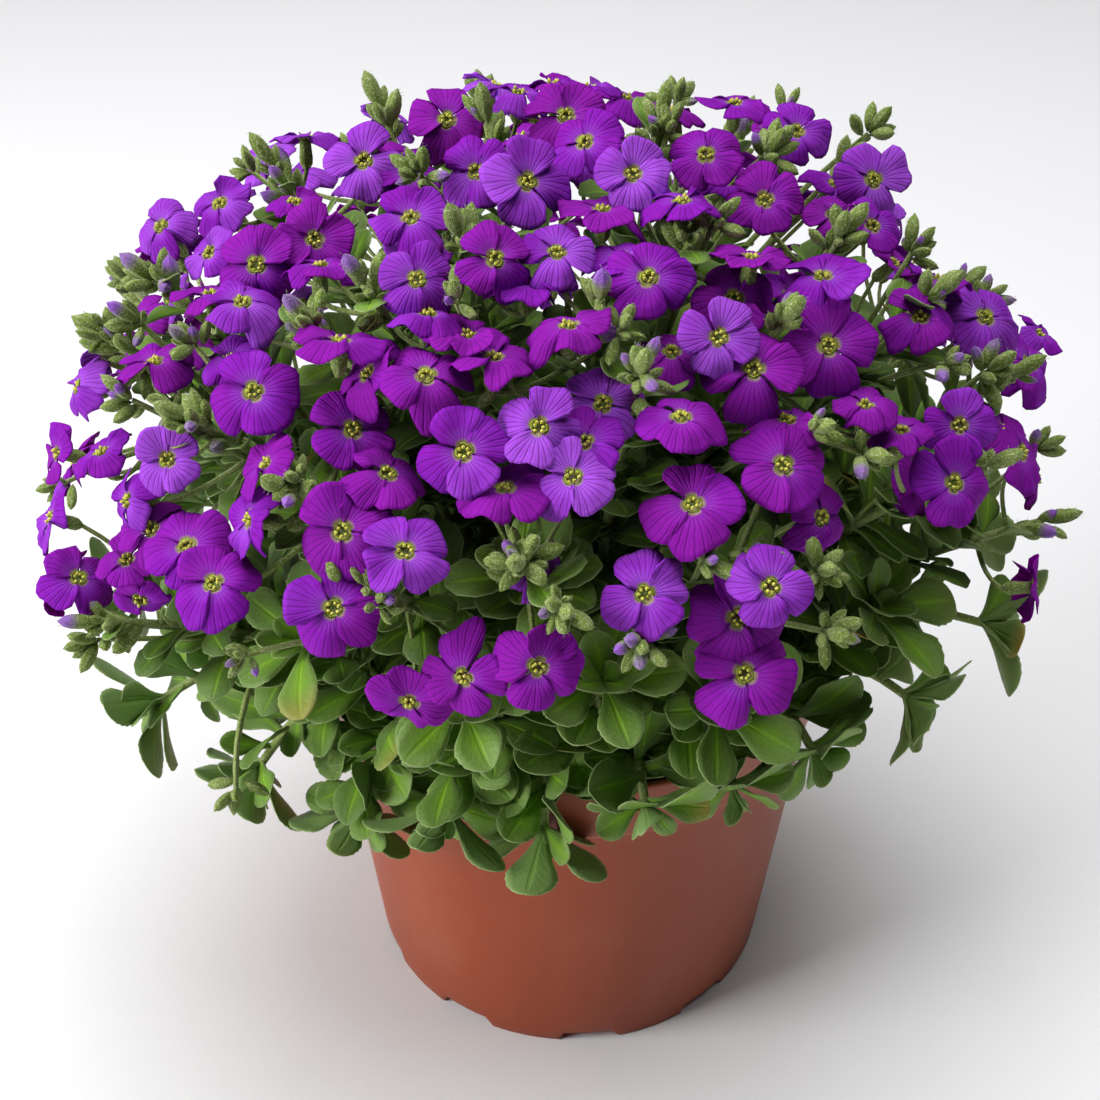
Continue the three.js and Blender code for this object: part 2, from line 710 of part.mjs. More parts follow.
// How long a line two blooms would share if their discs cut through each other
function crossing(one, two) {
  const reach = (one.radius + two.radius) * DISC_SHARE;
  if (one.eye.distanceTo(two.eye) > reach) return 0;
  const slant = one.face.dot(two.face);
  const spread = 1 - slant * slant;
  const stepBetween = Math.abs(one.face.dot(two.eye.clone().sub(one.eye)));
  if (spread < PARALLEL) return stepBetween < 1 ? reach : 0;
  const offOne = one.face.dot(one.eye);
  const offTwo = two.face.dot(two.eye);
  const shared = one.face
    .clone()
    .multiplyScalar((offOne - offTwo * slant) / spread)
    .addScaledVector(two.face, (offTwo - offOne * slant) / spread);
  const line = new THREE.Vector3().crossVectors(one.face, two.face).normalize();
  const [start, end] = [one, two].reduce(
    ([low, high], { eye, radius }) => {
      const toEye = eye.clone().sub(shared);
      const middle = toEye.dot(line);
      const off = toEye.addScaledVector(line, -middle).length();
      const half = Math.sqrt(Math.max((radius * DISC_SHARE) ** 2 - off * off, 0));
      return half > 0 ? [Math.max(low, middle - half), Math.min(high, middle + half)] : [1, 0];
    },
    [-Infinity, Infinity],
  );
  return Math.max(end - start, 0);
}

// Blooms moved back or forward, those in front first, so that they lie over each other uncut
function standClear(blooms) {
  const placed = [];
  const order = [...blooms].sort((a, b) => a.setback - b.setback);
  order.forEach((plan) => {
    const home = plan.eye.clone();
    let best = { score: Infinity };
    SHIFTS.forEach((shift) => {
      plan.eye = home.clone().addScaledVector(plan.backward, shift);
      const cut = placed.reduce((total, other) => total + crossing(plan, other), 0);
      const score = cut + SHIFT_COST * Math.abs(shift);
      if (score < best.score) best = { score, eye: plan.eye };
    });
    plan.eye = best.eye;
    placed.push(plan);
  });
  return blooms;
}

// The sprays: a stalk's curve for each bud cluster, with the blooms nearest to the cluster
function planSprays() {
  const seenTips = CLUSTERS_IN_VIEW.map(([x, y]) => placeOnDome(x, y, CLUSTER_SETBACK));
  const hiddenTips = hiddenPlaces(LATTICE_CLUSTERS).map(({ place, normal }) =>
    place.clone().addScaledVector(normal, -CLUSTER_SETBACK),
  );
  const sprays = [...seenTips, ...hiddenTips].map((tip) => {
    const foot = tip.clone().multiplyScalar(SPRAY_FOOT_SHARE).setZ(SOIL_TOP - ROOT_DEPTH);
    const bend = foot.clone().lerp(tip, STALK_BEND_OUT);
    bend.z = THREE.MathUtils.lerp(foot.z, tip.z, STALK_BEND_UP);
    return { curve: [foot, bend, tip], blooms: [] };
  });
  standClear([...seenBlooms(), ...hiddenBlooms()]).forEach((plan, i) => {
    const draw = seededDraws(BLOOM_SEED + i);
    const nearest = sprays.reduce((best, spray) =>
      spray.curve[2].distanceTo(plan.eye) < best.curve[2].distanceTo(plan.eye) ? spray : best,
    );
    const reach = nearest.curve[2].distanceTo(plan.eye);
    const rise = nearest.curve[2].distanceTo(nearest.curve[0]);
    const branch = 1 - THREE.MathUtils.clamp((BRANCH_SLANT * reach) / rise, ...BRANCH_SHARE);
    nearest.blooms.push({
      ...plan,
      root: onStem(nearest.curve, branch),
      spin: draw() * 2 * Math.PI,
      droops: Array.from({ length: PETALS }, () => drawIn(draw, PETAL_DROOP)),
    });
  });
  return sprays;
}

// The leafy shoots: a stem's curve for each bearing, out of the soil and over towards the rim
function planShoots() {
  const curveOf = ([bearing, reach, height], footReach, bendHeight) => {
    const angle = THREE.MathUtils.degToRad(bearing);
    const outward = new THREE.Vector3(Math.sin(angle), -Math.cos(angle), 0);
    return [
      outward.clone().multiplyScalar(footReach).setZ(SOIL_TOP - ROOT_DEPTH),
      outward.clone().multiplyScalar(SHOOT_BEND_REACH).setZ(bendHeight),
      outward.clone().multiplyScalar(reach - SHOOT_TIP_INSET).setZ(height),
    ];
  };
  const rimCurves = RIM_SHOOTS.map((row) => {
    const bendHeight = Math.max(RIM_SHOOT_BEND_HEIGHT, row[2] + RIM_SHOOT_BEND_RISE);
    return curveOf(row, RIM_SHOOT_FOOT, bendHeight);
  });
  const innerCurves = INNER_SHOOTS.map((row) =>
    curveOf(row, INNER_SHOOT_FOOT, INNER_SHOOT_BEND_HEIGHT),
  );
  return [...rimCurves, ...innerCurves].map((curve) => ({ curve, leaves: [], rosette: null }));
}

// What already stands in the dome, as segments with a radius: stalks, pedicels and blooms
function takenByStalks(sprays, shoots) {
  const taken = [];
  [...sprays, ...shoots].forEach(({ curve }) => {
    const points = stemPoints(curve);
    points.slice(1).forEach((to, i) => {
      taken.push({ from: points[i], to, radius: STALK_RADIUS });
    });
  });
  sprays.forEach(({ blooms }) => {
    blooms.forEach(({ eye, face, radius, root }) => {
      const calyxFoot = eye.clone().addScaledVector(face, -CALYX_LENGTH);
      taken.push({ from: root, to: calyxFoot, radius: CALYX_RADIUS });
      taken.push({ from: eye, to: eye, radius: BLOOM_SHARE * radius });
    });
  });
  return taken;
}

// The least distance from points along a leaf to what already stands
function roomAround(plan, taken) {
  const line = new THREE.Line3();
  const nearest = new THREE.Vector3();
  let least = Infinity;
  ROOM_PLACES.forEach((place) => {
    const point = plan.root.clone().addScaledVector(plan.along, place * plan.length);
    taken.forEach(({ from, to, radius }) => {
      line.set(from, to).closestPointToPoint(point, true, nearest);
      least = Math.min(least, nearest.distanceTo(point) - radius);
    });
  });
  return least;
}

// A leaf that leaves a stem at a place along its curve, on the side that has the most room
function leafOnCurve(curve, place, draw, taken) {
  const lean = drawIn(draw, LEAF_LEAN);
  const length = LEAF_LENGTH * drawIn(draw, LEAF_SIZE);
  const arch = drawIn(draw, LEAF_ARCH);
  const firstTurn = 2 * Math.PI * draw();
  const axis = curveDirection(curve, place);
  const upper = axis.clone().add(new THREE.Vector3(0, 0, LEAF_UPWARD)).normalize();
  const root = onStem(curve, place);
  let best = null;
  for (let i = 0; i < TURNS_TRIED; i += 1) {
    const [across] = squareTo(axis, firstTurn + (2 * Math.PI * i) / TURNS_TRIED);
    const along = leaning(axis, across, lean);
    const plan = { root, along, upper, length, arch };
    plan.room = roomAround(plan, taken);
    if (!best || plan.room > best.room) best = plan;
  }
  taken.push(spaceOf(best));
  return best;
}

// A rosette at the tip of a curve, turned to where its leaves have the most room
function rosetteOnCurve(curve, draw, taken) {
  const axis = curveDirection(curve, 1);
  const heart = curve[2].clone().addScaledVector(axis, ROSETTE_NECK);
  const lengths = Array.from(
    { length: ROSETTE_LEAVES },
    () => LEAF_LENGTH * drawIn(draw, ROSETTE_LEAF_SIZE),
  );
  const leavesAt = (spin) =>
    lengths.map((length, k) => {
      const [across] = squareTo(axis, spin + (2 * Math.PI * k) / ROSETTE_LEAVES);
      return { root: heart, along: leaning(axis, across, ROSETTE_LEAN), length };
    });
  let best = null;
  for (let i = 0; i < TURNS_TRIED; i += 1) {
    const spin = (2 * Math.PI * (i + draw())) / (ROSETTE_LEAVES * TURNS_TRIED);
    const room = Math.min(...leavesAt(spin).map((plan) => roomAround(plan, taken)));
    if (!best || room > best.room) best = { spin, room };
  }
  leavesAt(best.spin).forEach((plan) => taken.push(spaceOf(plan)));
  return { heart, axis, spin: best.spin, lengths };
}

// The space that a leaf's blade takes
function spaceOf({ root, along, length }) {
  const [from, to] = BLADE_PART.map((share) => root.clone().addScaledVector(along, share * length));
  return { from, to, radius: BLADE_SHARE * length };
}

function planLeaves(sprays, shoots) {
  const taken = takenByStalks(sprays, shoots);
  shoots.forEach((shoot, index) => {
    shoot.rosette = rosetteOnCurve(shoot.curve, seededDraws(ROSETTE_SEED + index), taken);
  });
  shoots.forEach(({ curve, leaves }, index) => {
    const draw = seededDraws(LEAF_SEED + index);
    for (let i = 0; i < LEAVES_PER_SHOOT; i += 1) {
      leaves.push(leafOnCurve(curve, FIRST_LEAF_PLACE + LEAF_PLACE_STEP * i, draw, taken));
    }
  });
}

// A solid with its swollen twin, the room that its neighbours leave it
function grown(make, plan) {
  return { solid: make(plan), room: make(plan, GAP) };
}

function growStem(curve, footRadius, budLength) {
  return grown(stem, { points: stemPoints(curve), footRadius, budLength });
}

function growSpray({ curve, blooms }, index) {
  const draw = seededDraws(BUD_SEED + index);
  const heading = curveDirection(curve, 1);
  const buds = Array.from({ length: SIDE_BUDS }, (_, i) => {
    const [across] = squareTo(heading, ((i + draw()) * 2 * Math.PI) / SIDE_BUDS);
    const along = heading.clone().addScaledVector(across, drawIn(draw, SIDE_BUD_LEAN)).normalize();
    const root = onStem(curve, SIDE_BUD_TOP - SIDE_BUD_STEP * i);
    return { root, along, length: BUD_LENGTH * drawIn(draw, SIDE_BUD_SIZE) };
  });
  const blades = [
    ...blooms.map((plan) => grown(bloom, plan)),
    ...buds.map((plan) => grown(bud, plan)),
  ];
  return { stalk: growStem(curve, STALK_RADIUS, BUD_LENGTH), blades };
}

function growShoot({ curve, leaves, rosette: plan }) {
  const blades = [grown(rosette, plan), ...leaves.map((leafPlan) => grown(leaf, leafPlan))];
  return { stalk: growStem(curve, SHOOT_RADIUS, 0), blades };
}

// The pot's closed profile, turned about the axis, with GAP added all round for the room it needs
function potProfile(grow) {
  const baseRadius = POT_BASE_DIAMETER / 2;
  const topRadius = POT_TOP_DIAMETER / 2;
  const bandBottom = POT_HEIGHT - BAND_HEIGHT;
  const wallAt = (z) => THREE.MathUtils.lerp(baseRadius, topRadius - BAND_STEP, z / POT_HEIGHT);
  const floorTop = FLOOR_LIFT + FLOOR_THICKNESS;
  return [
    [0, FLOOR_LIFT - grow],
    [baseRadius - FOOT_WIDTH - grow, FLOOR_LIFT - grow],
    [baseRadius - FOOT_WIDTH - grow, -grow],
    [baseRadius + grow, -grow],
    [wallAt(bandBottom) + grow, bandBottom - grow],
    [wallAt(bandBottom) + BAND_STEP + grow, bandBottom + BAND_STEP],
    [topRadius + grow, POT_HEIGHT + grow],
    [topRadius - POT_WALL - grow, POT_HEIGHT + grow],
    [wallAt(bandBottom) - POT_WALL - grow, bandBottom],
    [wallAt(floorTop) - POT_WALL - grow, floorTop + grow],
    [0, floorTop + grow],
  ].map(([r, z]) => new THREE.Vector2(r, z));
}

function turned(profile, sides) {
  const lathe = new THREE.LatheGeometry(profile, sides);
  lathe.rotateX(Math.PI / 2);
  return geometryToManifold(lathe);
}

function buildPot() {
  const shell = turned(potProfile(0), POT_SIDES);
  const width = 2 * Math.sin(THREE.MathUtils.degToRad(NOTCH_DEGREES / 2)) * (POT_BASE_DIAMETER / 2);
  const notches = Array.from({ length: NOTCH_COUNT }, (_, i) => {
    const bearing = THREE.MathUtils.degToRad(FIRST_NOTCH_DEGREES + (360 / NOTCH_COUNT) * i);
    const box = new THREE.BoxGeometry(width, 3 * FOOT_WIDTH, 2 * NOTCH_HEIGHT);
    box.translate(0, -POT_BASE_DIAMETER / 2, 0);
    box.rotateZ(bearing);
    return geometryToManifold(box);
  });
  return shell.subtract(union(notches));
}

// Soil that fills the pot to below its rim, with a hole for each stem
function buildSoil(stemRooms) {
  const innerFoot = POT_BASE_DIAMETER / 2 - POT_WALL - 2 * GAP;
  const innerTop = POT_TOP_DIAMETER / 2 - BAND_STEP - POT_WALL - 2 * GAP;
  const bottom = FLOOR_LIFT + FLOOR_THICKNESS + GAP;
  const radiusAt = (z) => THREE.MathUtils.lerp(innerFoot, innerTop, z / POT_HEIGHT);
  const profile = [
    [0, bottom],
    [radiusAt(bottom), bottom],
    [radiusAt(SOIL_TOP), SOIL_TOP],
    [0, SOIL_TOP],
  ].map(([r, z]) => new THREE.Vector2(r, z));
  const lathe = new THREE.LatheGeometry(profile, SOIL_SIDES);
  lathe.rotateX(Math.PI / 2);
  return geometryToManifold(lathe).subtract(union(stemRooms)).simplify(SLIVER);
}

// The piece of a solid that stands on its foot, without the scraps that trimming left loose
function rooted(solid) {
  const pieces = solid.decompose();
  return pieces.reduce((lowest, piece) =>
    piece.boundingBox().min[2] < lowest.boundingBox().min[2] ? piece : lowest,
  );
}

function boxesMeet(a, b) {
  const one = a.boundingBox();
  const two = b.boundingBox();
  return [0, 1, 2].every((k) => one.min[k] < two.max[k] && two.min[k] < one.max[k]);
}

// A solid cut clear of those rooms that reach it
function clearOf(solid, rooms) {
  const near = rooms.filter((room) => boxesMeet(solid, room));
  return near.length > 0 ? solid.subtract(union(near)) : solid;
}

// Each plant is trimmed clear of the pot, of every other plant's stalks and of earlier blades.
// A blade is cut piece by piece, so that only the rooms that reach it count.
function trimPlants(plants, potRoom) {
  return plants.map((plant, index) => {
    const otherStalks = plants.filter((other) => other !== plant).map((other) => other.stalk.room);
    const earlier = plants.slice(0, index);
    const earlierBlades = earlier.flatMap((other) => other.blades.map((blade) => blade.room));
    const rooms = [potRoom, ...otherStalks, ...earlierBlades];
    const stalk = clearOf(plant.stalk.solid, [potRoom, ...earlier.map((other) => other.stalk.room)]);
    const blades = plant.blades.map((blade) => clearOf(blade.solid, rooms));
    return rooted(union([stalk, ...blades]).simplify(SLIVER));
  });
}

function meshOf(solid, name, colour, roughness) {
  const { vertProperties, triVerts } = solid.getMesh();
  const geometry = new THREE.BufferGeometry();
  geometry.setAttribute("position", new THREE.BufferAttribute(new Float32Array(vertProperties), 3));
  geometry.setIndex(new THREE.BufferAttribute(new Uint32Array(triVerts), 1));
  const material = new THREE.MeshStandardMaterial({ color: colour, roughness, metalness: 0 });
  const mesh = new THREE.Mesh(geometry, material);
  mesh.name = name;
  return mesh;
}

function numbered(stemName, index) {
  return `${stemName}_${String(index + 1).padStart(2, "0")}`;
}

const sprayPlans = planSprays();
const shootPlans = planShoots();
planLeaves(sprayPlans, shootPlans);
const plants = [...sprayPlans.map(growSpray), ...shootPlans.map(growShoot)];
const potRoom = turned(potProfile(GAP), POT_SIDES);
const trimmed = trimPlants(plants, potRoom);

const aubrieta = new THREE.Group();
aubrieta.add(meshOf(buildPot(), "pot", POT_COLOUR, 0.45));
aubrieta.add(meshOf(buildSoil(plants.map((plant) => plant.stalk.room)), "soil", SOIL_COLOUR, 0.95));
trimmed.forEach((solid, i) => {
  const isSpray = i < sprayPlans.length;
  const name = isSpray ? numbered("spray", i) : numbered("leafy_shoot", i - sprayPlans.length);
  aubrieta.add(meshOf(solid, name, isSpray ? BLOOM_COLOUR : LEAF_COLOUR, isSpray ? 0.6 : 0.75));
});

export default aubrieta;
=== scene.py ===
"""Looks of a potted aubrieta: a dome of violet blooms on a nursery pot.

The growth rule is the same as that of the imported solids, with the same seeded draws, so every
stalk, bloom, bud and leaf stands where its solid does and is made again here as a fine surface.
Shapes are worked out in millimetres and put into the meshes in metres. The front is -Y.
"""

import logging
import math
from collections.abc import Sequence
from dataclasses import dataclass, field
from enum import Enum

import bpy
import numpy as np
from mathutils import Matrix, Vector


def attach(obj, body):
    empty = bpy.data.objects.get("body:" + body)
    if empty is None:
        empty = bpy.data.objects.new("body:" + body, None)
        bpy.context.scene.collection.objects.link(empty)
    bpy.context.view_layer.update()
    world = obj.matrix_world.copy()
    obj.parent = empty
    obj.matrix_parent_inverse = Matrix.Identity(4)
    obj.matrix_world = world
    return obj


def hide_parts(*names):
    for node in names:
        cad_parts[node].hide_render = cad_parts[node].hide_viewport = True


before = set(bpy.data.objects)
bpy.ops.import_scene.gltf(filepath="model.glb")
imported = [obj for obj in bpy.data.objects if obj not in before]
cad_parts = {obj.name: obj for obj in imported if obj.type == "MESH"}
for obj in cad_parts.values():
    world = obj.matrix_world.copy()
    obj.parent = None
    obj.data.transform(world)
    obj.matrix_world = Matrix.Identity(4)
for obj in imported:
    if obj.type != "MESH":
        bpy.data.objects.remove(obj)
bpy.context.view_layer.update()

LOG = logging.getLogger("aubrieta")
Array = np.ndarray
MM = 0.001
TAU = 2 * math.pi
ROOT_BODY = "root"

# The pot and the soil, in millimetres
POT_TOP_RADIUS = 65.0
POT_BASE_RADIUS = 55.0
POT_HEIGHT = 102.0
POT_WALL = 1.6
BAND_BOTTOM = 85.5
BAND_STEP = 0.4
FOOT_WIDTH = 3.2
FLOOR_LIFT = 1.8
FLOOR_TOP = 3.6
NOTCH_COUNT = 10
NOTCH_DEGREES = 15.0
NOTCH_HEIGHT = 3.0
FIRST_NOTCH_DEGREES = -13.5
SOIL_TOP = 94.0
ROOT_DEPTH = 12.0

# The dome that the blooms stand on
DOME_CENTRE = np.array([-6.0, 5.0, 140.0])
DOME_RADII = np.array([121.0, 106.0, 95.0])

# Blooms, stalks and buds
PETALS = 4
PETAL_DROOP = (-0.04, 0.22)
EYE_RISE = 0.5
CALYX_DEPTH = 1.2
CALYX_LENGTH = 7.0
CALYX_RADIUS = 1.5
STALK_RADIUS = 1.5
STALK_BEND_OUT = 0.3
STALK_BEND_UP = 0.62
STALK_JOINTS = (0.0, 0.35, 0.7, 1.0)
BRANCH_SLANT = 0.75
BRANCH_SHARE = (0.06, 0.45)
SIDE_BUDS = 2
SIDE_BUD_TOP = 0.96
SIDE_BUD_STEP = 0.04
SIDE_BUD_LEAN = (0.7, 1.1)
SIDE_BUD_SIZE = (0.9, 1.2)
BUD_LENGTH = 9.0

# Blooms moved clear of each other
DISC_SHARE = 0.9
SHIFTS = (0.0, 1.5, -1.5, 3.0, -3.0, 4.5, -4.5, 6.0, -6.0, 8.0, 10.0, 12.0)
SHIFT_COST = 0.4
PARALLEL = 0.003
COPLANAR_GAP = 1.0

# Leafy shoots and leaves
RIM_SHOOT_FOOT = 49.0
RIM_SHOOT_BEND_HEIGHT = 124.0
RIM_SHOOT_BEND_RISE = 4.0
INNER_SHOOT_FOOT = 42.0
INNER_SHOOT_BEND_HEIGHT = 118.0
SHOOT_BEND_REACH = 60.0
SHOOT_TIP_INSET = 10.0
SPRAY_FOOT_SHARE = 0.3
LEAF_LENGTH = 20.0
LEAF_LEAN = (1.0, 1.3)
LEAF_SIZE = (0.9, 1.1)
LEAF_ARCH = (0.08, 0.22)
LEAF_UPWARD = 0.8
LEAVES_PER_SHOOT = 2
FIRST_LEAF_PLACE = 0.6
LEAF_PLACE_STEP = 0.2
ROSETTE_LEAVES = 5
ROSETTE_LEAF_SIZE = (0.72, 1.02)
ROSETTE_LEAN = 1.0
ROSETTE_DROOP = 0.12
ROSETTE_NECK = 3.0
TURNS_TRIED = 8
ROOM_PLACES = (0.4, 0.7, 1.0)
BLADE_PART = (0.5, 0.9)
BLADE_SHARE = 0.24
BLOOM_SHARE = 0.75

# The hidden back of the dome
GOLDEN_ANGLE = math.pi * (3 - math.sqrt(5))
LATTICE_BLOOMS = 84
LATTICE_CLUSTERS = 15
LATTICE_LOWEST = -0.08
LATTICE_HIDDEN = 0.06
HIDDEN_LEAN_SIDE = (-0.5, 0.5)
HIDDEN_LEAN_UP = (0.0, 0.9)
HIDDEN_SETBACK = (0.0, 6.0)
HIDDEN_BLOOM_RADIUS = (7.0, 9.4)
HIDDEN_TONE_POWER = 1.6
CLUSTER_SETBACK = 3.0

# The view that places are read in, for a picture of 1100 by 1100 pixels
PICTURE_PIXELS = 1100
MIDDLE_PIXEL = 550.0
VIEW_ELEVATION = math.radians(35.4)
VIEW_DISTANCE = 373.5
VIEW_FOCAL_PIXELS = 1489.4
VIEW_TARGET = np.array([-6.0, 0.0, 122.2])
VIEW_RIGHT = np.array([1.0, 0.0, 0.0])
VIEW_UP = np.array([0.0, math.sin(VIEW_ELEVATION), math.cos(VIEW_ELEVATION)])
VIEW_BACK = np.array([0.0, -math.cos(VIEW_ELEVATION), math.sin(VIEW_ELEVATION)])
VIEW_EYE = VIEW_TARGET + VIEW_DISTANCE * VIEW_BACK
SENSOR_WIDTH = 36.0
UP = np.array([0.0, 0.0, 1.0])

# Blooms in view, one to a row: pixel x and y of the eye, how far the face turns right and up in
# the picture, the radius in mm, how far it stands back in mm, and its tone from magenta (0) to
# lilac (1)
BLOOMS_IN_VIEW = (
    (553, 82, 0, 0.9, 7, 0, 0.3),
    (590, 85, 0.1, 0.9, 7.5, 0, 0.45),
    (519, 90, 0.1, 0.85, 7.5, 0, 0.5),
    (735, 101, 0, 0.8, 9, 0, 0.3),
    (675, 109, 0, 0.9, 6.5, 0, 0.05),
    (566, 114, 0.1, 0.35, 8.5, 0, 0),
    (447, 119, 0.1, 0.1, 8.2, 0, 0.1),
    (797, 130, 0.1, 0.35, 8, 0, 0.45),
    (305, 135, 0, 0.95, 8, 0, 0.6),
    (584, 141, -0.3, 0.3, 8, 0, 0.3),
    (706, 154, -0.1, 0.1, 8, 0, 0.2),
    (363, 160, -0.1, 0.2, 8.3, 0, 0.85),
    (476, 171, -0.1, 0.2, 7.8, 6, 0.55),
    (633, 173, 0, 0.15, 7.6, 0, 0.9),
    (409, 175, 0.2, 0.3, 7, 8, 0.4),
    (874, 179, 0.1, 0.1, 9, 0, 0.75),
    (528, 181, 0.2, 0.1, 9.2, 0, 0.7),
    (682, 199, 0, 0.8, 8, 0, 0.45),
    (765, 199, 0, 0.2, 8, 4, 0.1),
    (295, 200, 0.2, 0.7, 5.5, 5, 0.1),
    (219, 202, -0.2, 0.5, 7.3, 0, 0.6),
    (603, 207, 0, 0.85, 9, 5, 0.05),
    (834, 214, 0, 0.3, 6.5, 6, 0.05),
    (410, 216, -0.1, 0.55, 8, 0, 0.6),
    (873, 225, 0.2, 0.3, 7, 7, 0.5),
    (160, 225, -0.4, 0.4, 7.5, 0, 0.65),
    (315, 239, 0.3, 0.1, 8, 5, 0.2),
    (557, 251, 0.1, 0.5, 7.5, 3, 0.7),
    (208, 252, -0.5, 0.3, 6.5, 6, 0.65),
    (417, 252, 0, 0.6, 7, 7, 0.6),
    (620, 255, -0.2, 0.7, 8, 6, 0.5),
    (752, 255, 0.1, 0.85, 8, 0, 0.05),
    (495, 258, 0.1, 0.15, 7.6, 0, 0.3),
    (321, 263, 0.1, 0.9, 7.5, 4, 0.25),
    (256, 264, 0.05, 0, 8.4, 0, 0.3),
    (823, 274, 0, 0.75, 9, 0, 0.5),
    (939, 277, 0.1, 0.95, 7.5, 4, 0.2),
    (648, 277, -0.1, 0.2, 8.6, 0, 0.3),
    (417, 278, 0.1, 0.2, 7.5, 0, 0.6),
    (528, 280, 0.1, 0.85, 8.5, 3, 0.5),
    (210, 292, -0.1, 0.85, 8, 4, 0.05),
    (734, 298, 0, 0.2, 8.5, 7, 0.05),
    (242, 300, 0, 0.65, 8, 0, 0.65),
    (428, 311, 0.1, 0.85, 8.5, 0, 0.5),
    (921, 316, 0, 0.6, 8, 3, 0.2),
    (986, 316, 0.1, 0.3, 9.3, 0, 0.55),
    (569, 323, 0, 0.8, 8, 0, 0),
    (1041, 333, 0.6, 0.6, 6.5, 2, 0.5),
    (468, 333, 0, 0.85, 8, 6, 0.05),
    (719, 337, 0, 0, 7.8, 0, 0.85),
    (340, 338, 0.1, 0.9, 9.2, 0, 0.05),
    (829, 345, 0.05, 0.1, 10, 2, 0.2),
    (672, 350, 0, 0.6, 7.5, 8, 0),
    (494, 355, 0.1, 0.85, 8.5, 4, 0.05),
    (231, 359, -0.1, 0.5, 7, 5, 0.7),
    (154, 360, -0.1, 0.85, 8, 0, 0.1),
    (1031, 362, 0.5, 0.5, 9, 0, 0.35),
    (754, 368, 0, 0.3, 9.6, 0, 0.05),
    (366, 372, -0.6, 0.5, 8, 3, 0.05),
    (426, 374, 0, 0.5, 8.8, 0, 0.05),
    (75, 386, -0.85, 0.2, 7.5, 0, 0.65),
    (253, 391, 0.05, 0.1, 9, 0, 0.4),
    (603, 403, 0, 0.2, 8, 8, 0.7),
    (866, 403, 0, 0.85, 6.5, 2, 0.1),
    (681, 415, 0, 0.7, 8.5, 0, 0.25),
    (788, 417, 0.1, 0.8, 8, 6, 0.1),
    (960, 425, 0.1, 0.1, 7.5, 0, 0.55),
    (539, 426, 0, 0.1, 8, 0, 0.85),
    (901, 428, 0, 0.8, 6.5, 2, 0.15),
    (353, 429, 0.3, 0.2, 8.5, 4, 0.3),
    (1005, 430, 0.7, 0.3, 8, 4, 0.2),
    (584, 441, -0.2, 0.5, 7.8, 3, 0.4),
    (100, 450, -0.3, 0.8, 7, 3, 0.45),
    (464, 451, 0.05, 0.1, 8.6, 0, 0.6),
    (1024, 452, 0.7, 0.1, 8.5, 2, 0.25),
    (167, 459, 0, 0.15, 7, 0, 0.9),
    (264, 463, -0.6, 0.6, 7.5, 2, 0.15),
    (784, 465, 0.1, 0.1, 9, 0, 0.1),
    (389, 472, 0.4, 0.6, 8, 5, 0),
    (573, 476, 0, 0.35, 7.8, 0, 0.85),
    (955, 483, 0.25, 0.05, 9.2, 0, 0.3),
    (505, 486, 0, 0.8, 9, 2, 0.05),
    (125, 500, -0.8, 0.1, 7, 4, 0.6),
    (693, 503, 0, 0.45, 9.3, 0, 0.1),
    (49, 517, -0.85, 0.25, 9, 0, 0.5),
    (247, 519, -0.85, 0.1, 8, 0, 0.5),
    (150, 528, -0.3, 0.5, 7.5, 7, 0.1),
    (342, 531, -0.05, 0.05, 9.3, 0, 0.1),
    (186, 545, -0.1, 0.45, 9, 0, 0.3),
    (405, 550, 0.1, 0.4, 8.2, -3, 0.7),
    (126, 559, -0.2, 0.6, 7, 5, 0.1),
    (79, 577, 0.4, 0.4, 8, 0, 0.35),
    (213, 582, 0, 0.45, 8.5, -4, 0.35),
    (771, 587, 0, 0, 7.8, -6, 0.65),
    (645, 594, 0, 0.05, 8.3, 0, 0.6),
    (140, 601, 0, -0.7, 6, 6, 0.3),
    (333, 608, 0, 0.1, 9.3, 0, 0.35),
    (738, 618, 0, 0.1, 9.6, 2, 0.15),
    (538, 667, 0.05, -0.1, 8.5, 2, 0.15),
    (745, 674, 0, 0.2, 10, 0, 0.1),
    (463, 678, -0.3, -0.4, 8.5, 6, 0.1),
    (409, 703, -0.1, -0.6, 9, 8, 0.1),
)

# Bud clusters in view: pixel x and y. Each is the tip of a spray.
CLUSTERS_IN_VIEW = (
    (488, 124), (660, 122), (275, 168), (460, 238), (690, 232), (842, 236),
    (155, 280), (365, 285), (600, 300), (930, 298), (310, 322), (782, 324),
    (110, 338), (640, 374), (1008, 376), (190, 420), (985, 466), (290, 490),
    (519, 566), (100, 622), (758, 562), (365, 592),
)

# Side branches in view that carry only buds: pixel x and y of the tip, and how far it stands back
SIDE_CLUSTERS_IN_VIEW = (
    (157, 280, 6), (108, 335, 4), (140, 322, 8), (195, 345, 3), (132, 400, 3), (187, 428, 3),
    (312, 322, 3), (668, 128, 3), (715, 222, 3), (785, 114, 8), (767, 155, 3), (838, 240, 3),
    (868, 134, 8), (912, 252, 5), (928, 302, 3), (620, 330, 3), (640, 372, 4), (780, 322, 3),
    (945, 364, 3), (985, 372, 6), (810, 430, 3), (865, 455, 4), (560, 607, 2), (335, 592, 2),
    (375, 605, 3), (97, 640, 5), (245, 655, 3), (702, 560, 3), (818, 572, 3), (828, 632, 3),
    (236, 788, 16), (455, 300, 3), (420, 175, 4), (560, 250, 4), (500, 375, 4), (300, 480, 4),
    (520, 560, 4), (640, 640, 3),
)
HIDDEN_SIDE_CLUSTERS = 44
SIDE_CLUSTER_SETBACK = 4.0

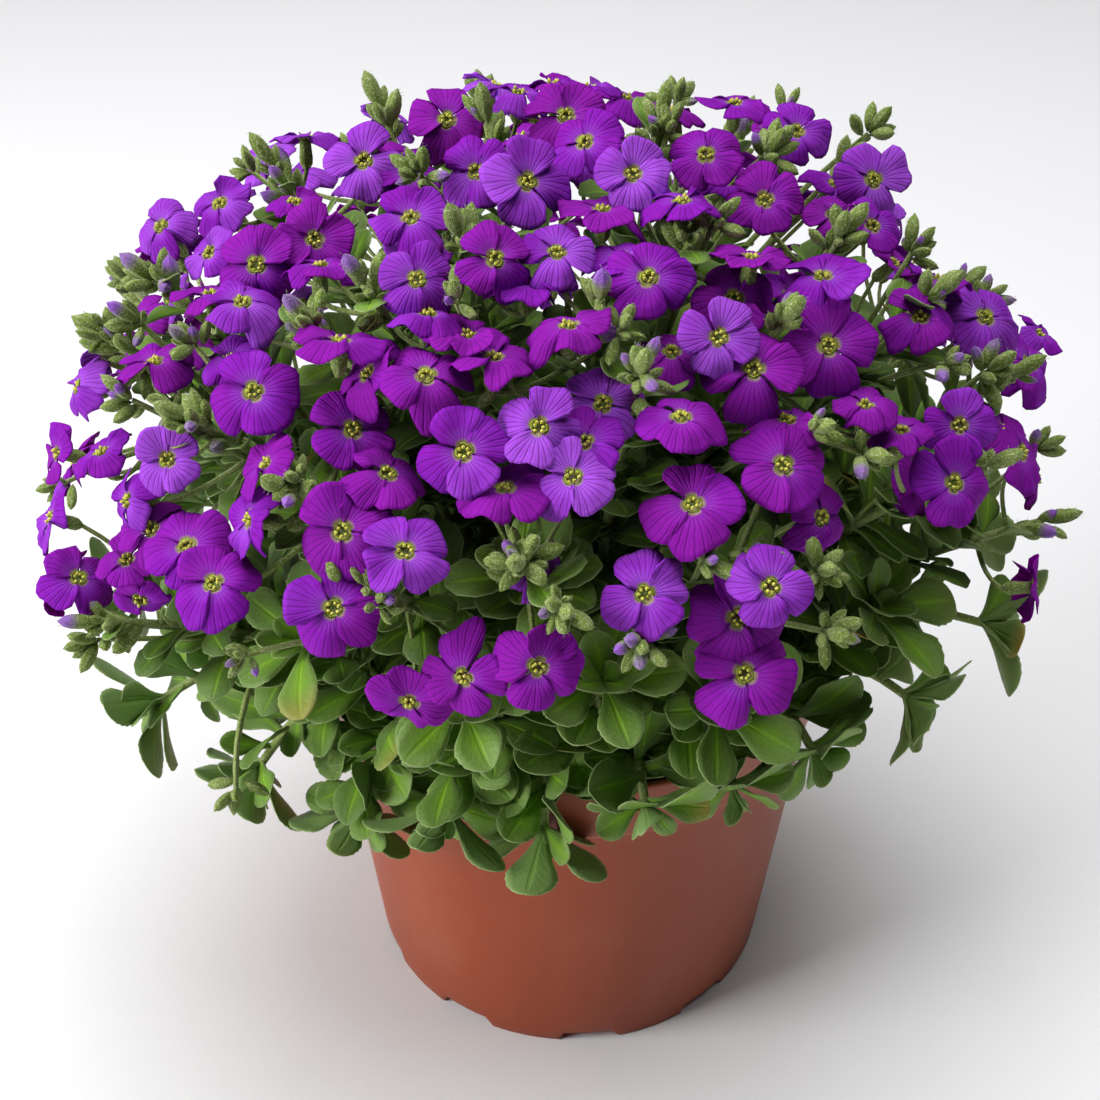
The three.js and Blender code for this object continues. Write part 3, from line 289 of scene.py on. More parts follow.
# The half-hidden blooms that close the gaps
INNER_BLOOM_SEED = 77
INNER_LATTICE = 240
INNER_BLOOMS = 44
INNER_SETBACK = (7.0, 15.0)
INNER_RADIUS = (6.3, 8.3)
INNER_LOWEST_FRONT = 176.0
INNER_LOWEST_BACK = 138.0
INNER_LEAN = ((-0.5, -0.5, 0.0), (0.5, 0.5, 0.7))
INNER_BRANCH = (0.55, 0.75)

# Leafy shoots over the rim and inside the dome: bearing in degrees from the front towards +X,
# reach from the axis, and height of the tip
RIM_SHOOTS = (
    (-106, 110, 118), (-88, 116, 112), (-73, 112, 101), (-58, 96, 95),
    (-41, 84, 92), (-23, 82, 103), (-6, 79, 99), (11, 84, 110),
    (28, 82, 106), (44, 85, 108), (61, 95, 112), (78, 108, 116),
    (98, 106, 124), (124, 98, 114), (150, 96, 110), (178, 94, 112),
    (-154, 96, 110), (-129, 100, 114),
)
INNER_SHOOTS = (
    (-95, 96, 142), (-66, 92, 132), (-44, 90, 138), (-17, 88, 136),
    (3, 90, 146), (21, 86, 132), (53, 88, 138), (84, 92, 140),
    (138, 88, 142), (-142, 88, 142),
)

# First seeds of the drawn sizes and turns that the solids share
BLOOM_SEED = 100
HIDDEN_BLOOM_SEED = 7000
ROSETTE_SEED = 400
LEAF_SEED = 500
BUD_SEED = 900

# Paint of surfaces that need none, and the places of the materials: in a bloom piece, in a piece
# of stalks and in a shoot. The first material of each has place 0.
NO_PAINT = np.zeros(3)
THROAT_SLOT, ANTHER_SLOT = 1, 2
BUD_SLOT, CALYX_SLOT, HAIR_SLOT, LEAF_SLOT = 1, 2, 3, 4
SHOOT_LEAF_SLOT = 1


class Draws:
    """A seeded source of numbers from 0 to 1, the one that the solids are grown with."""

    WORD = 0xFFFFFFFF

    def __init__(self, seed: int) -> None:
        """Starts the source; the same seed gives the same numbers."""
        self.state = seed & self.WORD

    def one(self) -> float:
        """Draws the next number, by mixing the bits of a counter.

        Returns:
            The number, from 0 up to 1.
        """
        self.state = (self.state + 0x6D2B79F5) & self.WORD
        mixed = ((self.state ^ (self.state >> 15)) * (self.state | 1)) & self.WORD
        mixed ^= (mixed + (((mixed ^ (mixed >> 7)) * (mixed | 61)) & self.WORD)) & self.WORD
        return (mixed ^ (mixed >> 14)) / (self.WORD + 1)

    def within(self, ends: Sequence[float]) -> float:
        """Returns the next number, spread between a low and a high end."""
        return ends[0] + (ends[1] - ends[0]) * self.one()


def unit(vector: Array) -> Array:
    """Returns vectors brought to length 1, along the last axis."""
    return vector / np.maximum(np.linalg.norm(vector, axis=-1, keepdims=True), 1e-9)


def square_to(axis: Array, turn: float = 0.0) -> tuple[Array, Array]:
    """Finds two directions square to an axis, turned about it by an angle.

    Args:
        axis: the axis, of length 1.
        turn: the angle in radians.

    Returns:
        The two directions.
    """
    helper = UP if abs(axis[2]) < 0.9 else np.array([0.0, 1.0, 0.0])
    first = unit(np.cross(helper, axis))
    across = first * math.cos(turn) + np.cross(axis, first) * math.sin(turn)
    return across, np.cross(axis, across)


def leaning(axis: Array, across: Array, angle: float) -> Array:
    """Returns the direction that leans out from an axis by an angle, to the side given."""
    return unit(axis * math.cos(angle) + across * math.sin(angle))


def on_curve(curve: Array, place: Array | float) -> Array:
    """Returns points on a quadratic curve through a foot, a bend and a tip.

    Args:
        curve: the three points.
        place: one place or an array of places, from 0 at the foot to 1 at the tip.

    Returns:
        (1-t)^2 foot + 2t(1-t) bend + t^2 tip for each place t.
    """
    t = np.asarray(place, float)[..., None]
    return (1 - t) ** 2 * curve[0] + 2 * t * (1 - t) * curve[1] + t**2 * curve[2]


def on_stem(curve: Array, place: float) -> Array:
    """Finds a point on the straight lengths that a stem's solid is built in.

    Args:
        curve: the stem's three guiding points.
        place: how far along, from 0 to 1.

    Returns:
        The point.
    """
    after = max(next(i for i, joint in enumerate(STALK_JOINTS) if joint >= place), 1)
    start, end = STALK_JOINTS[after - 1], STALK_JOINTS[after]
    share = (place - start) / (end - start)
    return (1 - share) * on_curve(curve, start) + share * on_curve(curve, end)


def heading(curve: Array, place: float) -> Array:
    """Returns the direction of a curve at a place."""
    step = 0.02
    return unit(on_curve(curve, min(place + step, 1)) - on_curve(curve, max(place - step, 0)))


@dataclass
class BloomPlan:
    """Where a bloom's eye stands, which way it faces, and what grows it."""

    eye: Array
    face: Array
    radius: float
    setback: float
    backward: Array
    tone: float
    root: Array = field(default_factory=lambda: np.zeros(3))
    spin: float = 0.0
    droops: list[float] = field(default_factory=list)


@dataclass
class LeafPlan:
    """A leaf's root, its direction, the side that its face is on, its length and its arch."""

    root: Array
    along: Array
    upper: Array
    length: float
    arch: float


@dataclass
class SprayPlan:
    """A flower stalk's curve with its blooms."""

    curve: Array
    blooms: list[BloomPlan] = field(default_factory=list)


@dataclass
class ShootPlan:
    """A leafy shoot's curve with its leaves, those of the rosette at its tip first."""

    curve: Array
    leaves: list[LeafPlan] = field(default_factory=list)


class Room:
    """What already stands in the dome, as segments with a radius."""

    def __init__(self) -> None:
        """Starts with nothing standing."""
        self.starts: list[Array] = []
        self.ends: list[Array] = []
        self.radii: list[float] = []

    def take(self, start: Array, end: Array, radius: float) -> None:
        """Adds a segment.

        Args:
            start: where it starts, in mm.
            end: where it ends.
            radius: half its thickness.
        """
        self.starts.append(start)
        self.ends.append(end)
        self.radii.append(radius)

    def take_blade(self, root: Array, along: Array, length: float) -> None:
        """Adds the space that a leaf's blade takes."""
        start, end = (root + share * length * along for share in BLADE_PART)
        self.take(start, end, BLADE_SHARE * length)

    def around(self, root: Array, along: Array, length: float) -> float:
        """Measures from places along a leaf to what stands.

        Args:
            root: where the leaf starts, in mm.
            along: its direction.
            length: its length.

        Returns:
            The least distance in mm.
        """
        starts, ends = np.array(self.starts), np.array(self.ends)
        way = ends - starts
        square = np.maximum((way**2).sum(1), 1e-12)
        places = root + np.outer(np.array(ROOM_PLACES) * length, along)
        share = ((places[:, None] - starts) * way).sum(2) / square
        nearest = starts + np.clip(share, 0, 1)[..., None] * way
        gaps = np.linalg.norm(places[:, None] - nearest, axis=2) - np.array(self.radii)
        return float(gaps.min())


class Growth:
    """Plans every stalk, bloom and leaf by the rule that the solids are grown with."""

    def __init__(self) -> None:
        """Works the whole plant out."""
        self.sprays = self.plan_sprays()
        self.shoots = self.plan_shoots()
        self.plan_leaves()

    @staticmethod
    def place_on_dome(x: float, y: float, setback: float) -> Array:
        """Finds the place that a pixel shows.

        Args:
            x: the pixel's column.
            y: the pixel's row.
            setback: how much further back the place is, in mm.

        Returns:
            Where the line of sight meets the dome, or passes nearest to it, and then further.
        """
        sight = unit(
            -VIEW_BACK
            + VIEW_RIGHT * (x - MIDDLE_PIXEL) / VIEW_FOCAL_PIXELS
            + VIEW_UP * (MIDDLE_PIXEL - y) / VIEW_FOCAL_PIXELS
        )
        start = (VIEW_EYE - DOME_CENTRE) / DOME_RADII
        along = sight / DOME_RADII
        square = along @ along
        cross = start @ along
        inside = max(cross * cross - square * (start @ start - 1), 0)
        return VIEW_EYE + sight * ((-cross - math.sqrt(inside)) / square + setback)

    @staticmethod
    def hidden_places(count: int, limit: float = LATTICE_HIDDEN) -> list[tuple[Array, Array]]:
        """Spreads places evenly on the dome's unseen part.

        Args:
            count: how many places the whole dome would have.
            limit: how far a normal may turn to the eye, as a cosine; with 2 all are returned.

        Returns:
            The places, each with its normal.
        """
        places = []
        for i in range(count):
            height = 1 - ((i + 0.5) / count) * (1 - LATTICE_LOWEST)
            ring = math.sqrt(1 - height * height)
            turn = i * GOLDEN_ANGLE
            ball = np.array([ring * math.cos(turn), ring * math.sin(turn), height])
            place = ball * DOME_RADII + DOME_CENTRE
            normal = unit(ball / DOME_RADII)
            if normal @ unit(VIEW_EYE - place) < limit:
                places.append((place, normal))
        return places

    def seen_blooms(self) -> list[BloomPlan]:
        """Plans the blooms whose places are read in the view.

        Returns:
            Their plans.
        """
        blooms = []
        for x, y, right, up, radius, setback, tone in BLOOMS_IN_VIEW:
            back = math.sqrt(max(1 - right * right - up * up, 0))
            face = unit(VIEW_RIGHT * right + VIEW_UP * up + VIEW_BACK * back)
            eye = self.place_on_dome(x, y, setback)
            blooms.append(BloomPlan(eye, face, radius, setback, unit(eye - VIEW_EYE), tone))
        return blooms

    def hidden_blooms(self) -> list[BloomPlan]:
        """Plans the blooms of the dome's unseen back, drawn on a lattice.

        Returns:
            Their plans.
        """
        blooms = []
        for i, (place, normal) in enumerate(self.hidden_places(LATTICE_BLOOMS)):
            draw = Draws(HIDDEN_BLOOM_SEED + i)
            leans = (HIDDEN_LEAN_SIDE, HIDDEN_LEAN_SIDE, HIDDEN_LEAN_UP)
            face = unit(normal + np.array([draw.within(ends) for ends in leans]))
            setback = draw.within(HIDDEN_SETBACK)
            radius = draw.within(HIDDEN_BLOOM_RADIUS)
            tone = draw.one() ** HIDDEN_TONE_POWER
            blooms.append(BloomPlan(place - normal * setback, face, radius, setback, -normal, tone))
        return blooms

    @staticmethod
    def crossing(one: BloomPlan, two: BloomPlan) -> float:
        """Measures the line that two blooms would share if their discs cut each other.

        Args:
            one: a bloom.
            two: another.

        Returns:
            Its length in mm, and 0 where they stay clear.
        """
        reach = (one.radius + two.radius) * DISC_SHARE
        apart = two.eye - one.eye
        if np.linalg.norm(apart) > reach:
            return 0.0
        slant = float(one.face @ two.face)
        spread = 1 - slant * slant
        if spread < PARALLEL:
            return reach if abs(one.face @ apart) < COPLANAR_GAP else 0.0
        off_one, off_two = one.face @ one.eye, two.face @ two.eye
        shared = one.face * ((off_one - off_two * slant) / spread)
        shared = shared + two.face * ((off_two - off_one * slant) / spread)
        line = unit(np.cross(one.face, two.face))
        low, high = -math.inf, math.inf
        for plan in (one, two):
            to_eye = plan.eye - shared
            middle = to_eye @ line
            off = to_eye - line * middle
            half = math.sqrt(max((plan.radius * DISC_SHARE) ** 2 - off @ off, 0))
            low, high = (max(low, middle - half), min(high, middle + half)) if half > 0 else (1, 0)
        return max(high - low, 0.0)

    def stand_clear(self, blooms: list[BloomPlan]) -> list[BloomPlan]:
        """Moves blooms back or forward so that they lie over each other uncut.

        Args:
            blooms: the blooms' plans.

        Returns:
            The plans.
        """
        placed: list[BloomPlan] = []
        for plan in sorted(blooms, key=lambda bloom: bloom.setback):
            home, best = plan.eye, (math.inf, plan.eye)
            for shift in SHIFTS:
                plan.eye = home + plan.backward * shift
                cut = sum(self.crossing(plan, other) for other in placed)
                score = cut + SHIFT_COST * abs(shift)
                if score < best[0]:
                    best = (score, plan.eye)
            plan.eye = best[1]
            placed.append(plan)
        return blooms

    def plan_sprays(self) -> list[SprayPlan]:
        """Plans a stalk for each bud cluster, with the blooms nearest to the cluster.

        Returns:
            The sprays' plans.
        """
        tips = [self.place_on_dome(x, y, CLUSTER_SETBACK) for x, y in CLUSTERS_IN_VIEW]
        tips += [p - n * CLUSTER_SETBACK for p, n in self.hidden_places(LATTICE_CLUSTERS)]
        sprays = []
        for tip in tips:
            foot = tip * SPRAY_FOOT_SHARE
            foot[2] = SOIL_TOP - ROOT_DEPTH
            bend = foot + (tip - foot) * STALK_BEND_OUT
            bend[2] = foot[2] + (tip[2] - foot[2]) * STALK_BEND_UP
            sprays.append(SprayPlan(np.array([foot, bend, tip])))
        ends = np.array([spray.curve[2] for spray in sprays])
        for i, plan in enumerate(self.stand_clear(self.seen_blooms() + self.hidden_blooms())):
            draw = Draws(BLOOM_SEED + i)
            reaches = np.linalg.norm(ends - plan.eye, axis=1)
            nearest = sprays[int(reaches.argmin())]
            rise = np.linalg.norm(nearest.curve[2] - nearest.curve[0])
            branch = 1 - float(np.clip(BRANCH_SLANT * reaches.min() / rise, *BRANCH_SHARE))
            plan.root = on_stem(nearest.curve, branch)
            plan.spin = TAU * draw.one()
            plan.droops = [draw.within(PETAL_DROOP) for _ in range(PETALS)]
            nearest.blooms.append(plan)
        return sprays

    @staticmethod
    def plan_shoots() -> list[ShootPlan]:
        """Plans the stems of the leafy shoots, out of the soil and over towards the rim.

        Returns:
            The shoots' plans.
        """
        rows = [
            (row, RIM_SHOOT_FOOT, max(RIM_SHOOT_BEND_HEIGHT, row[2] + RIM_SHOOT_BEND_RISE))
            for row in RIM_SHOOTS
        ]
        rows += [(row, INNER_SHOOT_FOOT, INNER_SHOOT_BEND_HEIGHT) for row in INNER_SHOOTS]
        shoots = []
        for (bearing, reach, height), foot_reach, bend_height in rows:
            angle = math.radians(bearing)
            outward = np.array([math.sin(angle), -math.cos(angle), 0.0])
            reaches = (foot_reach, SHOOT_BEND_REACH, reach - SHOOT_TIP_INSET)
            heights = (SOIL_TOP - ROOT_DEPTH, bend_height, height)
            points = [outward * r + UP * z for r, z in zip(reaches, heights)]
            shoots.append(ShootPlan(np.array(points)))
        return shoots

    def plan_leaves(self) -> None:
        """Gives every shoot its rosette and its leaves, turned to where they have room."""
        room = Room()
        for plant in self.sprays + self.shoots:
            points = on_curve(plant.curve, np.array(STALK_JOINTS))
            for start, end in zip(points, points[1:]):
                room.take(start, end, STALK_RADIUS)
        for spray in self.sprays:
            for bloom in spray.blooms:
                room.take(bloom.root, bloom.eye - CALYX_LENGTH * bloom.face, CALYX_RADIUS)
                room.take(bloom.eye, bloom.eye, BLOOM_SHARE * bloom.radius)
        for index, shoot in enumerate(self.shoots):
            shoot.leaves += self.rosette(shoot.curve, Draws(ROSETTE_SEED + index), room)
        for index, shoot in enumerate(self.shoots):
            draw = Draws(LEAF_SEED + index)
            for i in range(LEAVES_PER_SHOOT):
                place = FIRST_LEAF_PLACE + LEAF_PLACE_STEP * i
                shoot.leaves.append(self.leaf(shoot.curve, place, draw, room))

    @staticmethod
    def rosette(curve: Array, draw: Draws, room: Room) -> list[LeafPlan]:
        """Returns the leaves of the rosette at a curve's tip.

        Args:
            curve: the shoot's curve.
            draw: the source of the leaves' lengths and turns.
            room: what stands already, to which the leaves are added.

        Returns:
            One plan for each leaf, all from one heart.
        """
        axis = heading(curve, 1)
        heart = curve[2] + axis * ROSETTE_NECK
        lengths = [LEAF_LENGTH * draw.within(ROSETTE_LEAF_SIZE) for _ in range(ROSETTE_LEAVES)]

        def leaves_at(spin: float) -> list[tuple[Array, Array, float]]:
            """Turns the whole rosette.

            Args:
                spin: the angle in radians.

            Returns:
                The root, direction and length of each leaf.
            """
            rows = []
            for k, length in enumerate(lengths):
                across, _ = square_to(axis, spin + TAU * k / ROSETTE_LEAVES)
                rows.append((heart, leaning(axis, across, ROSETTE_LEAN), length))
            return rows

        spins = [TAU * (i + draw.one()) / (ROSETTE_LEAVES * TURNS_TRIED) for i in range(TURNS_TRIED)]
        best = max(spins, key=lambda spin: min(room.around(*row) for row in leaves_at(spin)))
        for row in leaves_at(best):
            room.take_blade(*row)
        return [
            LeafPlan(root, along, axis, length, ROSETTE_DROOP)
            for root, along, length in leaves_at(best)
        ]

    @staticmethod
    def leaf(curve: Array, place: float, draw: Draws, room: Room) -> LeafPlan:
        """Returns a leaf that leaves a stem on the side with the most room.

        Args:
            curve: the stem's curve.
            place: how far along the curve the leaf's root is.
            draw: the source of the leaf's sizes and turn.
            room: what stands already, to which the leaf is added.

        Returns:
            The leaf's plan.
        """
        lean = draw.within(LEAF_LEAN)
        length = LEAF_LENGTH * draw.within(LEAF_SIZE)
        arch = draw.within(LEAF_ARCH)
        first_turn = TAU * draw.one()
        axis = heading(curve, place)
        root = on_stem(curve, place)
        ways = []
        for i in range(TURNS_TRIED):
            across, _ = square_to(axis, first_turn + TAU * i / TURNS_TRIED)
            ways.append(leaning(axis, across, lean))
        along = max(ways, key=lambda way: room.around(root, way, length))
        room.take_blade(root, along, length)
        return LeafPlan(root, along, unit(axis + UP * LEAF_UPWARD), length, arch)


class Skin:
    """Surfaces gathered for one piece: corners with a map place and paint, and faces."""

    PAINTS = ("tone", "side", "age")

    def __init__(self) -> None:
        """Starts with no surface."""
        self.points: list[Array] = []
        self.maps: list[Array] = []
        self.paints: list[Array] = []
        self.faces: list[Array] = []
        self.slots: list[Array] = []
        self.count = 0

    def add(self, points: Array, faces: Array, maps: Array, paint: Array, slot: int = 0) -> None:
        """Adds one surface, or several of the same build.

        Args:
            points: corners in mm, shaped (corners, 3) or (copies, corners, 3).
            faces: corner indices, four to a row, the last of them -1 for a triangle.
            maps: map places, of the same shape as the corners or the same for all copies.
            paint: tone, side and age, for each corner, each copy or for all.
            slot: the index of the material.
        """
        stack = points if points.ndim == 3 else points[None]
        copies, corners = stack.shape[:2]
        starts = self.count + corners * np.arange(copies)[:, None, None]
        rows = np.where(faces[None] >= 0, faces[None] + starts, -1).reshape(-1, 4)
        self.points.append(stack.reshape(-1, 3))
        self.maps.append(np.broadcast_to(maps, (copies, corners, 2)).reshape(-1, 2))
        self.paints.append(np.broadcast_to(paint, (copies, corners, 3)).reshape(-1, 3))
        self.faces.append(rows)
        self.slots.append(np.full(len(rows), slot))
        self.count += copies * corners

    def add_tube(self, points: Array, sides: int, paint: Array, slot: int = 0) -> None:
        """Adds a tube of rings, or several of the same build.

        Args:
            points: corners in mm, ring by ring and then the two ends, with or without copies.
            sides: corners in a ring.
            paint: tone, side and age, for each corner, each copy or for all.
            slot: the index of the material.
        """
        rows = (points.shape[-2] - 2) // sides
        self.add(points, tube_faces(rows, sides), tube_maps(rows, sides), paint, slot)

    def piece(self, name: str, materials: Sequence[bpy.types.Material], slot: str,
              nodes: Sequence[str]) -> bpy.types.Object:
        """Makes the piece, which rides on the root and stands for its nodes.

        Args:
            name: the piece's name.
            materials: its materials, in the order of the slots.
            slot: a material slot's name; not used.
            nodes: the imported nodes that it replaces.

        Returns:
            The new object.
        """
        points, faces = np.concatenate(self.points) * MM, np.concatenate(self.faces)
        real = faces >= 0
        totals = real.sum(1)
        loops = faces[real]
        mesh = bpy.data.meshes.new(name)
        mesh.vertices.add(len(points))
        mesh.vertices.foreach_set("co", points.astype(np.float32).ravel())
        mesh.loops.add(len(loops))
        mesh.loops.foreach_set("vertex_index", loops.astype(np.int32))
        mesh.polygons.add(len(faces))
        mesh.polygons.foreach_set("loop_start", (np.cumsum(totals) - totals).astype(np.int32))
        mesh.polygons.foreach_set("material_index", np.concatenate(self.slots).astype(np.int32))
        mesh.polygons.foreach_set("use_smooth", np.ones(len(faces), bool))
        layer = mesh.uv_layers.new(name="surface")
        layer.data.foreach_set("uv", np.concatenate(self.maps)[loops].astype(np.float32).ravel())
        paints = np.concatenate(self.paints).astype(np.float32)
        for column, title in enumerate(self.PAINTS):
            paint = mesh.attributes.new(title, "FLOAT", "POINT")
            paint.data.foreach_set("value", np.ascontiguousarray(paints[:, column]))
        mesh.update(calc_edges=True)
        mesh.validate()
        for material in materials:
            mesh.materials.append(material)
        thing = bpy.data.objects.new(name, mesh)
        bpy.context.scene.collection.objects.link(thing)
        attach(thing, ROOT_BODY)
        if nodes:
            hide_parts(*nodes)
        LOG.info("%s: %d faces", name, len(faces))
        return thing


def grid_faces(rows: int, cols: int, wrap: bool = False) -> Array:
    """Lists the four-sided faces of a grid, which face along columns x rows.

    Args:
        rows: how many rows of corners.
        cols: how many corners in a row.
        wrap: whether the last column joins the first.

    Returns:
        The faces, as rows of corner numbers.
    """
    row = np.arange(rows - 1)[:, None]
    col = np.arange(cols if wrap else cols - 1)[None]
    after = (col + 1) % cols
    corners = [row * cols + col, row * cols + after, (row + 1) * cols + after, (row + 1) * cols + col]
    return np.stack(corners, -1).reshape(-1, 4)


def blade_faces(rows: int, cols: int) -> Array:
    """Lists the faces of a thin closed blade: an upper grid, a lower one and the rim.

    Args:
        rows: how many rows each grid has.
        cols: how many columns.

    Returns:
        The faces, as rows of corner numbers.
    """
    upper = grid_faces(rows, cols)
    lower = upper[:, ::-1] + rows * cols
    index = np.arange(rows * cols).reshape(rows, cols)
    loop = np.concatenate([index[0], index[1:, -1], index[-1, -2::-1], index[-2:0:-1, 0]])
    after = np.roll(loop, -1)
    rim = np.stack([loop + rows * cols, after + rows * cols, after, loop], -1)
    return np.concatenate([upper, lower, rim])


def tube_faces(rows: int, sides: int) -> Array:
    """Lists the faces of a tube of rings, closed at each end round an added point.

    Args:
        rows: how many rings it has.
        sides: how many corners a ring has.

    Returns:
        The faces, with -1 for the last corner of a three-sided one.
    """
    wall = grid_faces(rows, sides, wrap=True)
    ring = np.arange(sides)
    after = (ring + 1) % sides
    first, last = rows * sides, rows * sides + 1
    top = (rows - 1) * sides
    none = np.full(sides, -1)
    foot = np.stack([np.full(sides, first), after, ring, none], -1)
    head = np.stack([np.full(sides, last), top + ring, top + after, none], -1)
    return np.concatenate([wall, foot, head])


def blades(middle: Array, thickness: Array) -> Array:
    """Gives blades their thickness.

    Args:
        middle: the middle surfaces, shaped (copies, rows, columns, 3).
        thickness: in mm, of a shape that fits (copies, rows, columns).

    Returns:
        Corners shaped (copies, 2 x rows x columns, 3): each middle point moved half the
        thickness along the surface's normal, and as far against it.
    """
    across = np.gradient(middle, axis=2)
    along = np.gradient(middle, axis=1)
    offset = unit(np.cross(across, along)) * np.asarray(thickness)[..., None] / 2
    both = np.concatenate([middle + offset, middle - offset], axis=1)
    return both.reshape(len(middle), -1, 3)


def rings(path: Array, radii: Array, sides: int) -> Array:
    """Carries a profile along a path.

    Args:
        path: points in mm, shaped (rows, 3).
        radii: radii in mm, shaped (rows,) or (rows, sides).
        sides: corners in a ring.

    Returns:
        Corners shaped (rows x sides + 2, 3): rings square to the path, each corner out by its
        radius, and then the two end points.
    """
    along = unit(np.gradient(path, axis=0))
    bend = np.cross(along[0], along[-1])
    reference = unit(bend) if np.linalg.norm(bend) > 1e-3 else square_to(unit(path[-1] - path[0]))[0]
    across = unit(reference - (along @ reference)[:, None] * along)
    over = np.cross(along, across)
    angle = TAU * np.arange(sides) / sides
    out = across[:, None] * np.cos(angle)[None, :, None] + over[:, None] * np.sin(angle)[None, :, None]
    wide = np.broadcast_to(radii if np.ndim(radii) == 2 else np.asarray(radii)[:, None], out.shape[:2])
    wall = path[:, None] + out * wide[..., None]
    return np.concatenate([wall.reshape(-1, 3), path[:1], path[-1:]])


def tube_maps(rows: int, sides: int) -> Array:
    """Works out a tube's map: round it from 0 to 1, and along it from 0 to 1.

    Args:
        rows: how many rings it has.
        sides: how many corners a ring has.

    Returns:
        A place on the map for each corner.
    """
    round_it, along = np.meshgrid(np.arange(sides) / sides, np.linspace(0, 1, rows))
    wall = np.stack([round_it, along], -1).reshape(-1, 2)
    return np.concatenate([wall, [[0.5, 0.0], [0.5, 1.0]]])


def blade_maps(rows: int, cols: int) -> Array:
    """Works out a blade's map, the same on both faces: across and along from 0 to 1.

    Args:
        rows: how many rows each grid has.
        cols: how many columns.

    Returns:
        A place on the map for each corner.
    """
    across, along = np.meshgrid(np.linspace(0, 1, cols), np.linspace(0, 1, rows))
    face = np.stack([across, along], -1).reshape(-1, 2)
    return np.concatenate([face, face])


def blade_paint(tones: Array, ages: Array, corners: int) -> Array:
    """Works out the paint of blades: tone, 1 for the lower face, and age.

    Args:
        tones: each copy's tone.
        ages: each copy's age.
        corners: how many corners one grid has.

    Returns:
        Three numbers for each corner of each copy.
    """
    paint = np.zeros((len(tones), 2 * corners, 3))
    paint[..., 0] = np.asarray(tones)[:, None]
    paint[:, corners:, 1] = 1
    paint[..., 2] = np.asarray(ages)[:, None]
    return paint


def frames(axes: Array, turns: Array) -> Array:
    """Turns copies: two square directions and the axis are the rows of each matrix.

    Args:
        axes: each copy's axis.
        turns: how far each is turned about it, in radians.

    Returns:
        Matrices shaped (copies, 3, 3).
    """
    helper = np.where(np.abs(axes[:, 2:]) < 0.9, UP, np.array([0.0, 1.0, 0.0]))
    first = unit(np.cross(helper, axes))
    second = np.cross(axes, first)
    cos, sin = np.cos(turns)[:, None], np.sin(turns)[:, None]
    return np.stack([first * cos + second * sin, second * cos - first * sin, axes], 1)


def turned(profile: Array, sides: int, lobes: int = 0, depth: float = 0.0) -> Array:
    """Turns a profile about Z.

    Args:
        profile: radius and height of each ring, shaped (rows, 2), with small end rings.
        sides: corners in a ring.
        lobes: how many lobes the ring has.
        depth: the lobes' height as a share of the radius.

    Returns:
        Corners shaped (rows x sides + 2, 3), at radius x (1 + depth cos(lobes x angle)).
    """
    angle = TAU * np.arange(sides) / sides
    swell = 1 + depth * np.cos(lobes * angle)
    radius = profile[:, :1] * swell
    height = np.broadcast_to(profile[:, 1:], radius.shape)
    wall = np.stack([radius * np.cos(angle), radius * np.sin(angle), height], -1).reshape(-1, 3)
    ends = [[0, 0, profile[0, 1]], [0, 0, profile[-1, 1]]]
    return np.concatenate([wall, ends])


def placed(points: Array, turns: Array, origins: Array, sizes: Array | float = 1.0) -> Array:
    """Returns copies of a shape, each sized, turned by its frame and moved to its origin."""
    scaled = points[None] * np.broadcast_to(np.asarray(sizes, float), (len(turns),))[:, None, None]
    return np.einsum("kcj,kji->kci", scaled, turns) + origins[:, None]


def smooth(low: float, high: float, value: Array) -> Array:
    """Returns 3x^2 - 2x^3 of a value's share x of the way from low to high."""
    share = np.clip((value - low) / (high - low), 0, 1)
    return share * share * (3 - 2 * share)


class Expr:
    """A shader socket with which sums are written."""

    def __init__(self, bench: "Bench", socket: bpy.types.NodeSocket) -> None:
        """Wraps an output socket that carries one number."""
        self.bench, self.socket = bench, socket

    def __add__(self, other: "Expr | float") -> "Expr":
        """Adds."""
        return self.bench.math("ADD", self, other)

    def __radd__(self, other: float) -> "Expr":
        """Adds to a number."""
        return self.bench.math("ADD", other, self)

    def __sub__(self, other: "Expr | float") -> "Expr":
        """Subtracts."""
        return self.bench.math("SUBTRACT", self, other)

    def __rsub__(self, other: float) -> "Expr":
        """Subtracts from a number."""
        return self.bench.math("SUBTRACT", other, self)

    def __mul__(self, other: "Expr | float") -> "Expr":
        """Multiplies."""
        return self.bench.math("MULTIPLY", self, other)

    def __rmul__(self, other: float) -> "Expr":
        """Multiplies a number."""
        return self.bench.math("MULTIPLY", other, self)

    def __pow__(self, other: "Expr | float") -> "Expr":
        """Raises to a power."""
        return self.bench.math("POWER", self, other)

    def absolute(self) -> "Expr":
        """Returns the size without the sign."""
        return self.bench.math("ABSOLUTE", self, 0.0)

    def sine(self) -> "Expr":
        """Returns the sine."""
        return self.bench.math("SINE", self, 0.0)

    def step(self, low: float, high: float) -> "Expr":
        """Steps smoothly from 0 to 1, clamped.

        Args:
            low: where the step starts.
            high: where it ends.

        Returns:
            The step.
        """
        settings = {"interpolation_type": "SMOOTHSTEP"}
        node = self.bench.node("ShaderNodeMapRange", settings, {"Value": self, 1: low, 2: high})
        return Expr(self.bench, node.outputs[0])


Colour = tuple[float, float, float]


def paint(red: int, green: int, blue: int) -> Colour:
    """Returns a colour in linear light, from screen values of 0 to 255."""
    shares = (value / 255 for value in (red, green, blue))
    return tuple(s / 12.92 if s <= 0.04045 else ((s + 0.055) / 1.055) ** 2.4 for s in shares)


